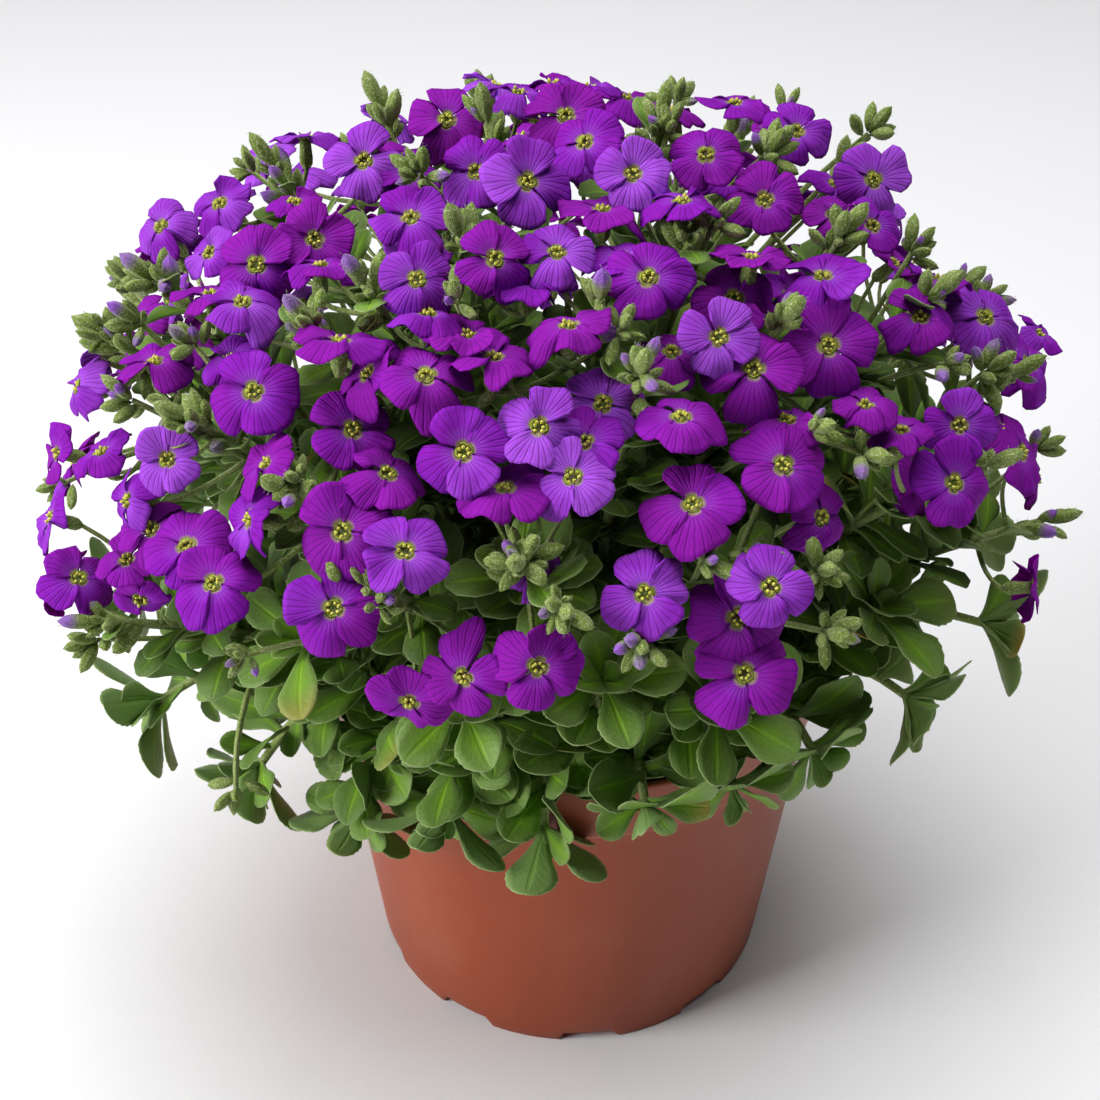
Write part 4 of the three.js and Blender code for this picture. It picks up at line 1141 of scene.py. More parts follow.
class Bench:
    """Where a material's nodes are put together."""

    def __init__(self, name: str) -> None:
        """Starts a material with no nodes.

        Args:
            name: the material's name.
        """
        self.material = bpy.data.materials.new(name)
        self.material.use_nodes = True
        self.tree = self.material.node_tree
        self.tree.nodes.clear()

    def node(self, kind: str, settings: dict | None = None, values: dict | None = None) -> bpy.types.Node:
        """Adds a node.

        Args:
            kind: the node's type.
            settings: its own settings, which are set first.
            values: values or links of its sockets, by name or index.

        Returns:
            The node.
        """
        node = self.tree.nodes.new(kind)
        for key, value in (settings or {}).items():
            setattr(node, key, value)
        for key, value in (values or {}).items():
            self.feed(node.inputs[key], value)
        return node

    def feed(self, socket: bpy.types.NodeSocket, value: object) -> None:
        """Links a socket, or sets its value.

        Args:
            socket: the input.
            value: a link's source, or a value.
        """
        if isinstance(value, Expr):
            self.tree.links.new(value.socket, socket)
        elif isinstance(value, bpy.types.NodeSocket):
            self.tree.links.new(value, socket)
        elif isinstance(value, tuple) and socket.type == "RGBA":
            socket.default_value = (*value, 1.0)
        else:
            socket.default_value = value

    def math(self, operation: str, first: Expr | float, second: Expr | float) -> Expr:
        """Returns a sum of two values."""
        node = self.node("ShaderNodeMath", {"operation": operation}, {0: first, 1: second})
        return Expr(self, node.outputs[0])

    def mix(self, share: Expr | float, start: object, end: object) -> bpy.types.NodeSocket:
        """Mixes two colours.

        Args:
            share: how much of the end colour there is.
            start: the first colour.
            end: the second.

        Returns:
            The mixed colour.
        """
        settings = {"data_type": "RGBA", "clamp_factor": True}
        node = self.node("ShaderNodeMix", settings, {0: share, 6: start, 7: end})
        return node.outputs[2]

    def attribute(self, name: str) -> Expr:
        """Returns a painted value."""
        return Expr(self, self.node("ShaderNodeAttribute", {"attribute_name": name}).outputs["Fac"])

    def place(self) -> tuple[Expr, Expr]:
        """Reads the surface's own map.

        Returns:
            How far across and how far along the point is.
        """
        source = self.node("ShaderNodeUVMap", {"uv_map": "surface"})
        parts = self.node("ShaderNodeSeparateXYZ", None, {0: source.outputs[0]})
        return Expr(self, parts.outputs[0]), Expr(self, parts.outputs[1])

    def noise(self, scale: float, detail: float = 2.0, stretch: Colour = (1.0, 1.0, 1.0)) -> Expr:
        """Adds noise on the object's own coordinates.

        Args:
            scale: how fine it is.
            detail: how many finer layers it has.
            stretch: how far each axis is scaled.

        Returns:
            The noise.
        """
        source = self.node("ShaderNodeTexCoord").outputs["Object"]
        placed_at = self.node("ShaderNodeMapping", None, {"Vector": source, "Scale": stretch})
        values = {"Vector": placed_at.outputs[0], "Scale": scale, "Detail": detail}
        return Expr(self, self.node("ShaderNodeTexNoise", None, values).outputs[0])

    def finish(self, surface: dict, bump: Expr | None = None, strength: float = 0.3,
               depth: float = 0.0002) -> bpy.types.Material:
        """Closes the material with a principled shader.

        Args:
            surface: the shader's sockets.
            bump: the height that its bump reads.
            strength: the bump's strength.
            depth: the bump's depth in metres.

        Returns:
            The material.
        """
        shader = self.node("ShaderNodeBsdfPrincipled", None, surface)
        if bump is not None:
            values = {"Strength": strength, "Distance": depth, "Height": bump}
            self.feed(shader.inputs["Normal"], self.node("ShaderNodeBump", None, values).outputs[0])
        self.node("ShaderNodeOutputMaterial", None, {"Surface": shader.outputs[0]})
        return self.material


@dataclass(frozen=True)
class PetalFinish:
    """Velvety petals: magenta to lilac, with fine dark veins that fan out from a pale throat."""

    magenta: Colour = paint(148, 0, 164)
    violet: Colour = paint(138, 2, 190)
    lilac: Colour = paint(188, 96, 250)
    vein: Colour = paint(62, 0, 84)
    glow: Colour = paint(184, 110, 250)
    throat: Colour = paint(186, 192, 56)
    under: Colour = paint(120, 40, 150)
    veins: float = 9.0

    def build(self) -> bpy.types.Material:
        """Builds the material.

        The veins are narrow crests of a sine across the petal, bent a little by noise, with a
        finer set between them on the outer half.

        Returns:
            The material.
        """
        bench = Bench("petal")
        across, along = bench.place()
        tone, side = bench.attribute("tone"), bench.attribute("side")
        sway = bench.noise(420.0, 2.0) - 0.5
        coarse = ((across + sway * 0.05) * (math.pi * self.veins)).sine().absolute() ** 0.45
        fine = ((across + sway * 0.06) * (math.pi * 2 * self.veins)).sine().absolute() ** 0.5
        lines = (1 - coarse) + (1 - fine) * along.step(0.3, 0.7) * 0.6
        strength = (1 - along.step(0.45, 1.0) * 0.6) * along.step(0.06, 0.2)
        vein_mask = lines * strength * (1.15 - side * 0.7)
        cloud = bench.noise(95.0, 3.0) - 0.5
        violet = bench.mix((tone + cloud * 0.7).step(0.05, 0.6), self.magenta, self.violet)
        body = bench.mix((tone + cloud * 0.6).step(0.42, 0.95), violet, self.lilac)
        lit = bench.mix((1 - along.step(0.12, 0.5)) * (0.1 + tone * 0.6), body, self.glow)
        veined = bench.mix(vein_mask * 1.25, lit, self.vein)
        throated = bench.mix(1 - along.step(0.08, 0.15), veined, self.throat)
        below = bench.mix(side * 0.45, throated, self.under)
        bump = lines * -0.6 + bench.noise(900.0, 2.0) * 0.4
        surface = {
            "Base Color": below, "Roughness": 0.72, "Specular IOR Level": 0.05,
            "Sheen Weight": 0.05, "Sheen Roughness": 0.4, "Sheen Tint": paint(190, 40, 255),
        }
        return bench.finish(surface, bump, 0.7, 0.0003)


@dataclass(frozen=True)
class EyeFinish:
    """A bloom's throat: yellow-green at its mouth and dark green inside."""

    mouth: Colour = paint(172, 186, 44)
    deep: Colour = paint(52, 70, 8)

    def build(self) -> bpy.types.Material:
        """Builds the material: the colour goes from the deep to the mouth.

        Returns:
            The material.
        """
        bench = Bench("bloom_throat")
        _, along = bench.place()
        colour = bench.mix(along.step(0.35, 0.75), self.mouth, self.deep)
        return bench.finish({"Base Color": colour, "Roughness": 0.6}, bench.noise(800.0), 0.3)


@dataclass(frozen=True)
class AntherFinish:
    """Pale yellow anthers, dusty with pollen."""

    pollen: Colour = paint(222, 220, 104)
    shade: Colour = paint(168, 168, 40)

    def build(self) -> bpy.types.Material:
        """Builds the material: grains of two yellows.

        Returns:
            The material.
        """
        bench = Bench("anther")
        grain = bench.noise(2500.0, 2.0)
        colour = bench.mix(grain.step(0.35, 0.6), self.shade, self.pollen)
        return bench.finish({"Base Color": colour, "Roughness": 0.8}, grain, 0.5)


@dataclass(frozen=True)
class DownFinish:
    """Green skin under pale down, as stems, calyxes and buds have it, blushed by age."""

    name: str
    fresh: Colour
    grey: Colour
    blush: Colour
    ridges: float = 0.0
    hairs: Colour = paint(196, 204, 158)

    def build(self) -> bpy.types.Material:
        """Builds the material: green under patches of grey down, blushed towards the tip.

        Returns:
            The material.
        """
        bench = Bench(self.name)
        across, along = bench.place()
        tone, age = bench.attribute("tone"), bench.attribute("age")
        patches = bench.noise(260.0, 3.0)
        body = bench.mix(patches.step(0.3, 0.7) * 0.7 + tone * 0.3, self.fresh, self.grey)
        down = bench.noise(2400.0, 3.0)
        furred = bench.mix(down.step(0.5, 0.62) * 0.55, body, self.hairs)
        blushed = bench.mix(along.step(0.5, 0.85) * age * 0.95, furred, self.blush)
        ribs = (across * (TAU * self.ridges)).sine() if self.ridges else down
        surface = {
            "Base Color": blushed, "Roughness": 0.8, "Specular IOR Level": 0.2,
            "Sheen Weight": 0.5, "Sheen Roughness": 0.35, "Sheen Tint": paint(225, 232, 185),
        }
        return bench.finish(surface, down * 1.5 + ribs * 0.5, 0.7, 0.0003)


@dataclass(frozen=True)
class LeafFinish:
    """A downy leaf: green with a bright base and midrib, a grey bloom of hairs and a pale margin."""

    green: Colour = paint(98, 140, 30)
    deep: Colour = paint(48, 70, 24)
    bright: Colour = paint(126, 176, 22)
    down: Colour = paint(130, 154, 88)
    under: Colour = paint(126, 152, 94)
    margin: Colour = paint(160, 180, 118)
    dry: Colour = paint(176, 150, 60)

    def build(self) -> bpy.types.Material:
        """Builds the material.

        With m as the distance from the midrib, the base and midrib are bright where m is small,
        side veins are crests of a sine of (along - m), and the margin is pale where m nears 1.

        Returns:
            The material.
        """
        bench = Bench("leaf")
        across, along = bench.place()
        tone, side, age = (bench.attribute(name) for name in Skin.PAINTS)
        off = (across * 2 - 1).absolute()
        wander = bench.noise(180.0, 3.0)
        # The tone paint is partly random and partly painted shade, lower deep in the dome: a low tone
        # turns the leaf to the deep colour and thins its glow, down and margin.
        body = bench.mix(tone * 1.1 + wander * 0.3, self.deep, self.green)
        glow = (1 - off.step(0.0, 0.75)) * (1 - along.step(0.25, 0.95)) * 0.9
        rib = (1 - off.step(0.03, 0.14)) * (1 - along.step(0.7, 1.0))
        lit = bench.mix(glow * (0.3 + tone * 0.7) + rib * 0.5, body, self.bright)
        veins = (1 - ((along * 7 - off * 2.4) * math.pi).sine().absolute() ** 0.3) * off.step(0.05, 0.3)
        veined = bench.mix(veins * 0.1, lit, self.bright)
        fuzz = bench.noise(1700.0, 3.0)
        haze = off.step(0.1, 0.9) * 0.35 + fuzz.step(0.48, 0.62) * 0.4 + along.step(0.35, 0.9) * 0.3
        haired = bench.mix(haze * (0.35 + tone * 0.5), veined, self.down)
        below = bench.mix(side * (0.3 + tone * 0.5), haired, self.under)
        edge = off.step(0.9, 1.0) + along.step(0.97, 1.0) * 0.7
        edged = bench.mix(edge * (0.35 + tone * 0.4), below, self.margin)
        aged = bench.mix(age * along.step(0.3, 1.0), edged, self.dry)
        surface = {
            "Base Color": aged, "Roughness": 0.66 - tone * 0.12, "Specular IOR Level": 0.35,
            "Sheen Weight": 0.12, "Sheen Roughness": 0.5, "Sheen Tint": paint(222, 232, 195),
        }
        return bench.finish(surface, fuzz * 0.7 - veins * 0.25 - rib, 0.5, 0.0003)


@dataclass(frozen=True)
class PotFinish:
    """Satin terracotta-coloured plastic with faint flow marks, dusty patches and a painted highlight on
    the band's step.
    """

    body: Colour = paint(151, 66, 32)
    shade: Colour = paint(144, 60, 29)
    dust_and_highlight: Colour = paint(190, 140, 116)
    peat: Colour = paint(70, 42, 28)

    def build(self) -> bpy.types.Material:
        """Builds the material: two near tones in soft streaks, a paler band with a painted highlight
        along its step, peat inside.

        Returns:
            The material.
        """
        bench = Bench("pot_plastic")
        side, band = bench.attribute("side"), bench.attribute("age")
        streaks = bench.noise(60.0, 3.0, (1.0, 1.0, 0.12))
        specks = bench.noise(900.0, 3.0)
        body = bench.mix(streaks.step(0.2, 0.8), self.shade, self.body)
        dusty = bench.mix(bench.noise(35.0, 4.0).step(0.5, 0.8) * 0.1, body, self.dust_and_highlight)
        # The age paint marks the rim band, made a little paler, and the crest of its step, which gets a
        # painted highlight.
        banded_and_highlighted = bench.mix(band * 0.3, dusty, self.dust_and_highlight)
        peaty = bench.mix(side * bench.noise(140.0, 4.0).step(0.42, 0.6) * 0.75, banded_and_highlighted, self.peat)
        roughness = 0.4 + specks * 0.08 + side * 0.2
        surface = {"Base Color": peaty, "Roughness": roughness, "Specular IOR Level": 0.3}
        return bench.finish(surface, specks * 0.4 + streaks, 0.08, 0.0003)


@dataclass(frozen=True)
class PeatFinish:
    """Dark peat with lighter fibres."""

    dark: Colour = paint(34, 22, 15)
    brown: Colour = paint(84, 58, 38)
    fibre: Colour = paint(120, 92, 62)

    def build(self) -> bpy.types.Material:
        """Builds the material: crumbs of two browns with thin pale fibres.

        Returns:
            The material.
        """
        bench = Bench("peat")
        crumbs = bench.noise(450.0, 6.0)
        threads = (bench.noise(260.0, 3.0, (1.0, 0.25, 1.0)) - 0.5).absolute()
        body = bench.mix(crumbs.step(0.38, 0.66), self.dark, self.brown)
        strewn = bench.mix((1 - threads.step(0.0, 0.012)) * 0.5, body, self.fibre)
        surface = {"Base Color": strewn, "Roughness": 0.95, "Specular IOR Level": 0.15}
        return bench.finish(surface, crumbs, 0.9, 0.0008)


@dataclass(frozen=True)
class DryFinish:
    """Fallen leaves, dried to orange and brown."""

    orange: Colour = paint(206, 140, 30)
    brown: Colour = paint(128, 70, 22)

    def build(self) -> bpy.types.Material:
        """Builds the material: blotches of brown on orange.

        Returns:
            The material.
        """
        bench = Bench("dry_leaf")
        blotches = bench.noise(240.0, 4.0)
        colour = bench.mix(blotches.step(0.45, 0.7), self.orange, self.brown)
        return bench.finish({"Base Color": colour, "Roughness": 0.7}, blotches, 0.5)


@dataclass(frozen=True)
class HairFinish:
    """Pale downy hairs."""

    root: Colour = paint(150, 164, 112)
    tip: Colour = paint(206, 214, 178)

    def build(self) -> bpy.types.Material:
        """Builds the material: paler towards the tips.

        Returns:
            The material.
        """
        bench = Bench("hair")
        _, along = bench.place()
        colour = bench.mix(along, self.root, self.tip)
        return bench.finish({"Base Color": colour, "Roughness": 0.6})


class Down(Enum):
    """The downy greens."""

    STALK = DownFinish("stalk", paint(122, 144, 56), paint(146, 160, 100), paint(120, 96, 78), 3.0)
    BUD = DownFinish("bud", paint(104, 130, 42), paint(132, 150, 78), paint(150, 84, 200), 4.0)
    CALYX = DownFinish("calyx", paint(106, 128, 42), paint(130, 146, 76), paint(104, 62, 84), 4.0)


class Finishes:
    """Every material of the part, built once."""

    def __init__(self) -> None:
        """Builds the materials."""
        self.blooms = [PetalFinish().build(), EyeFinish().build(), AntherFinish().build()]
        self.greens = [down.value.build() for down in Down]
        self.hair = HairFinish().build()
        self.leaf = LeafFinish().build()
        self.pot = PotFinish().build()
        self.peat = PeatFinish().build()
        self.dry = DryFinish().build()


@dataclass(frozen=True)
class Petals:
    """A bloom's four petals: claws in the throat and broad, wavy blades that nearly touch."""

    rows: int = 8
    cols: int = 11
    half_spread: float = math.radians(51)
    narrow: float = 0.78
    claw: float = 1.0
    claw_dip: float = 1.3
    folded: tuple[float, float] = (0.16, 0.6)
    folded_share: float = 0.42
    thickness: tuple[float, float] = (0.34, 0.2)

    def middle(self, plans: Sequence[BloomPlan], rng: np.random.Generator) -> Array:
        """Works the petals' middle surfaces out.

        With u across from -1 to 1, v along from 0 to 1 and R the bloom's radius, a corner stands
        at the angle u x spread x (narrow at the claw, opening by v = 0.6), at the distance
        claw + (reach(u) R - claw) v, where reach falls to the sides like a flattened arch and is
        notched a little at its middle. Its height over the throat sinks as (1 - v)^4, droops as
        the square of the distance, cups with u^2, tilts with u and ripples with sin(3u + phase).

        Args:
            plans: the blooms.
            rng: where the petals' own small differences come from.

        Returns:
            Corners shaped (petals, rows, columns, 3).
        """
        count = len(plans) * PETALS
        u = np.linspace(-1, 1, self.cols)[None, None, :]
        v = (np.linspace(0, 1, self.rows) ** 0.85)[None, :, None]

        def drawn(low: float, high: float) -> Array:
            """Returns one number for each petal, shaped to fit the grid."""
            return rng.uniform(low, high, (count, 1, 1))

        radius = np.repeat([plan.radius for plan in plans], PETALS)[:, None, None]
        droop = np.concatenate([plan.droops for plan in plans])[:, None, None]
        droop = droop + np.where(drawn(0, 1) < self.folded_share, drawn(*self.folded), 0)
        wide = self.half_spread * drawn(0.93, 1.07)
        opened = self.narrow + (1 - self.narrow) * smooth(-0.1, 0.62, v)
        shoulder = 0.56 + 0.44 * np.sqrt(np.maximum(1 - np.abs(u) ** 3.2, 0))
        notch = drawn(0.0, 0.07) * np.exp(-((u / 0.22) ** 2)) * v**2
        uneven = drawn(-0.12, 0.12) * u * v + drawn(-0.06, 0.06) * np.sin(u * 6 + drawn(0, TAU)) * v
        reach = (shoulder - notch + uneven) * radius
        angle = u * wide * opened + drawn(-0.15, 0.15)
        out = self.claw + (reach - self.claw) * v
        share = out / radius
        height = EYE_RISE - self.claw_dip * (1 - v) ** 3 - droop * radius * share**2
        height = height + radius * drawn(-0.12, 0.08) * u**2 * v + radius * 0.05 * u * v
        wave = np.sin(u * drawn(2.4, 4.6) + drawn(0, TAU)) * drawn(0.05, 0.15)
        crimp = np.sin(u * drawn(6, 9) + v * 2 + drawn(0, TAU)) * drawn(0.025, 0.075)
        curl = drawn(-0.16, 0.03) * smooth(0.6, 1.0, v) + drawn(-0.08, 0.08) * u * v
        height = height + radius * (wave * v**2 + crimp * smooth(0.3, 1.0, v) + curl)
        spins = np.repeat([plan.spin for plan in plans], PETALS)
        turns = spins + np.tile(TAU * np.arange(PETALS) / PETALS, len(plans))
        axes = np.repeat([plan.face for plan in plans], PETALS, axis=0)
        eyes = np.repeat([plan.eye for plan in plans], PETALS, axis=0)
        local = np.stack(np.broadcast_arrays(out * np.cos(angle), out * np.sin(angle), height), -1)
        return np.einsum("krci,kij->krcj", local, frames(axes, turns)) + eyes[:, None, None]

    def add_to(self, skin: Skin, plans: Sequence[BloomPlan], rng: np.random.Generator) -> None:
        """Adds the petals, each tone a little off its bloom's.

        Args:
            skin: where they go.
            plans: the blooms.
            rng: where their differences come from.
        """
        middle = self.middle(plans, rng)
        taper = np.linspace(self.thickness[0], self.thickness[1], self.rows)[None, :, None]
        tones = np.repeat([plan.tone for plan in plans], PETALS) + rng.uniform(-0.16, 0.16, len(middle))
        corners = self.rows * self.cols
        shade = blade_paint(np.clip(tones, 0, 1), np.zeros(len(middle)), corners)
        faces = blade_faces(self.rows, self.cols)
        skin.add(blades(middle, taper), faces, blade_maps(self.rows, self.cols), shade)


@dataclass(frozen=True)
class Throats:
    """The funnel in the middle of a bloom, with its ring of anthers."""

    sides: int = 10
    profile: tuple = ((0.05, -3.0), (0.7, -2.9), (0.85, -1.9), (1.1, -0.95), (1.4, -0.5),
                      (1.7, -0.32), (1.45, -0.62), (0.95, -1.9), (0.8, -3.1), (0.05, -3.2))
    anthers: int = 6
    anther_rows: int = 4
    anther_sides: int = 5
    anther_size: tuple[float, float] = (0.36, 1.2)

    def funnel(self) -> tuple[Array, Array, Array]:
        """Shapes a funnel: a closed thin-walled profile turned about Z.

        Returns:
            Its corners, faces and map.
        """
        profile = np.array(self.profile)
        points = turned(profile, self.sides, PETALS, 0.06)
        faces = tube_faces(len(profile), self.sides)[:, ::-1]
        faces = np.where(faces[:, :1] < 0, np.roll(faces, -1, axis=1), faces)
        return points, faces, tube_maps(len(profile), self.sides)

    def anther(self) -> Array:
        """Shapes an anther: an oblong profile turned about Z.

        Returns:
            Its corners.
        """
        radius, length = self.anther_size
        share = np.linspace(0, 1, self.anther_rows)
        profile = np.stack([radius * np.sqrt(share * (1 - share)) * 2 + 0.03, length * share], -1)
        return turned(profile, self.anther_sides)

    def add_to(self, skin: Skin, plans: Sequence[BloomPlan], rng: np.random.Generator) -> None:
        """Adds funnels and anthers, the anthers upright in a ring and two of them lower.

        Args:
            skin: where they go.
            plans: the blooms.
            rng: where their differences come from.
        """
        axes = np.array([plan.face for plan in plans])
        eyes = np.array([plan.eye for plan in plans])
        turns = frames(axes, np.array([plan.spin for plan in plans]))
        points, faces, maps = self.funnel()
        skin.add(placed(points, turns, eyes), faces, maps, NO_PAINT, THROAT_SLOT)
        anther = self.anther()
        for number in range(self.anthers):
            angle = TAU * (number + 0.25) / self.anthers + rng.uniform(-0.2, 0.2, len(plans))
            off = 0.75 + rng.uniform(-0.15, 0.25, len(plans))
            low = -1.2 if number % 3 == 0 else -0.75
            lift = low + rng.uniform(-0.2, 0.5, len(plans))
            local = np.stack([off * np.cos(angle), off * np.sin(angle), lift], -1)
            origins = eyes + np.einsum("ki,kij->kj", local, turns)
            leaned = unit(axes + 0.25 * np.einsum("ki,kij->kj", local * [1, 1, 0], turns))
            copies = placed(anther, frames(leaned, angle), origins)
            skin.add_tube(copies, self.anther_sides, NO_PAINT, ANTHER_SLOT)


def add_hairs(skin: Skin, roots: Array, ways: Array, lengths: Array, slot: int) -> None:
    """Adds downy hairs: spikes on a base of three corners, a tenth of their length across.

    Args:
        skin: where they go.
        roots: where they start, in mm.
        ways: which way they point.
        lengths: their lengths in mm.
        slot: the index of the material.
    """
    angle = TAU * np.arange(3) / 3
    base = np.stack([np.cos(angle) * 0.07, np.sin(angle) * 0.07, np.zeros(3)], -1)
    spike = np.concatenate([base, [[0.0, 0.0, 1.0]]])
    faces = np.array([(0, 1, 3, -1), (1, 2, 3, -1), (2, 0, 3, -1), (2, 1, 0, -1)])
    turns = frames(unit(ways), np.zeros(len(ways)))
    maps = np.array([(0.0, 0.0), (0.3, 0.0), (0.6, 0.0), (0.5, 1.0)])
    skin.add(placed(spike, turns, roots, lengths), faces, maps, NO_PAINT, slot)


@dataclass(frozen=True)
class Buds:
    """Oblong, four-ribbed downy buds."""

    sides: int = 8
    rows: int = 7
    ribs: float = 0.07
    hairs: int = 14
    hair_length: float = 0.1
    blooms: tuple[BloomPlan, ...] = ()

    def beside_blooms(self, roots: Array, tips: Array) -> Array:
        """Finds the buds that don't run through a bloom.

        Args:
            roots: where the buds start, in mm.
            tips: where they end.

        Returns:
            For each, whether both ends are on one side of every bloom or its tip is beside it.
        """
        eyes = np.array([bloom.eye for bloom in self.blooms])
        faces = np.array([bloom.face for bloom in self.blooms])
        radii = np.array([bloom.radius for bloom in self.blooms])
        low = np.einsum("nmk,mk->nm", roots[:, None] - eyes, faces)
        high = np.einsum("nmk,mk->nm", tips[:, None] - eyes, faces)
        off = np.linalg.norm(tips[:, None] - eyes - high[..., None] * faces, axis=2)
        level = EYE_RISE - 0.25 * off**2 / radii
        return ~((low < level) & (high > level - 1) & (off < radii)).any(axis=1)

    @staticmethod
    def swell(share: Array) -> Array:
        """Returns a bud's radius at a share of its length: 0.185 (sin of the way)^0.6, blunt-tipped."""
        return 0.012 + 0.185 * np.abs(np.sin(math.pi * share**1.15)) ** 0.6

    def shape(self) -> Array:
        """Shapes a bud of length 1, whose radius follows its swell.

        Returns:
            Its corners.
        """
        share = np.linspace(0, 1, self.rows)
        return turned(np.stack([self.swell(share), share], -1), self.sides, PETALS, self.ribs)

    def add_to(self, skin: Skin, roots: Array, axes: Array, lengths: Array,
               rng: np.random.Generator) -> None:
        """Adds buds.

        Args:
            skin: where they go.
            roots: where each starts, in mm.
            axes: which way each points.
            lengths: each one's length in mm.
            rng: where their turns, tones and violet tips come from.
        """
        axes = unit(axes)
        kept = self.beside_blooms(roots, roots + axes * lengths[:, None])
        roots, axes, lengths = roots[kept], axes[kept], lengths[kept]
        count = len(roots)
        turns = frames(axes, rng.uniform(0, TAU, count))
        shade = np.zeros((count, 1, 3))
        shade[:, 0, 0] = rng.uniform(0, 1, count)
        shade[:, 0, 2] = np.maximum(rng.uniform(-6, 1, count), 0) ** 0.25
        skin.add_tube(placed(self.shape(), turns, roots, lengths), self.sides, shade, BUD_SLOT)
        share = rng.uniform(0.06, 0.99, (count, self.hairs))
        bearing = rng.uniform(0, TAU, (count, self.hairs))
        ring = np.stack([np.cos(bearing), np.sin(bearing), np.zeros_like(share)], -1)
        local = ring * (self.swell(share) * 0.96)[..., None]
        local[..., 2] = share
        lean = unit(ring + UP * ((share - 0.4) * 1.6)[..., None] + rng.normal(0, 0.25, local.shape))
        starts = np.einsum("khi,kij->khj", local * lengths[:, None, None], turns) + roots[:, None]
        ways = np.einsum("khi,kij->khj", lean, turns)
        size = np.repeat(lengths * self.hair_length, self.hairs)
        add_hairs(skin, starts.reshape(-1, 3), ways.reshape(-1, 3), size, HAIR_SLOT)


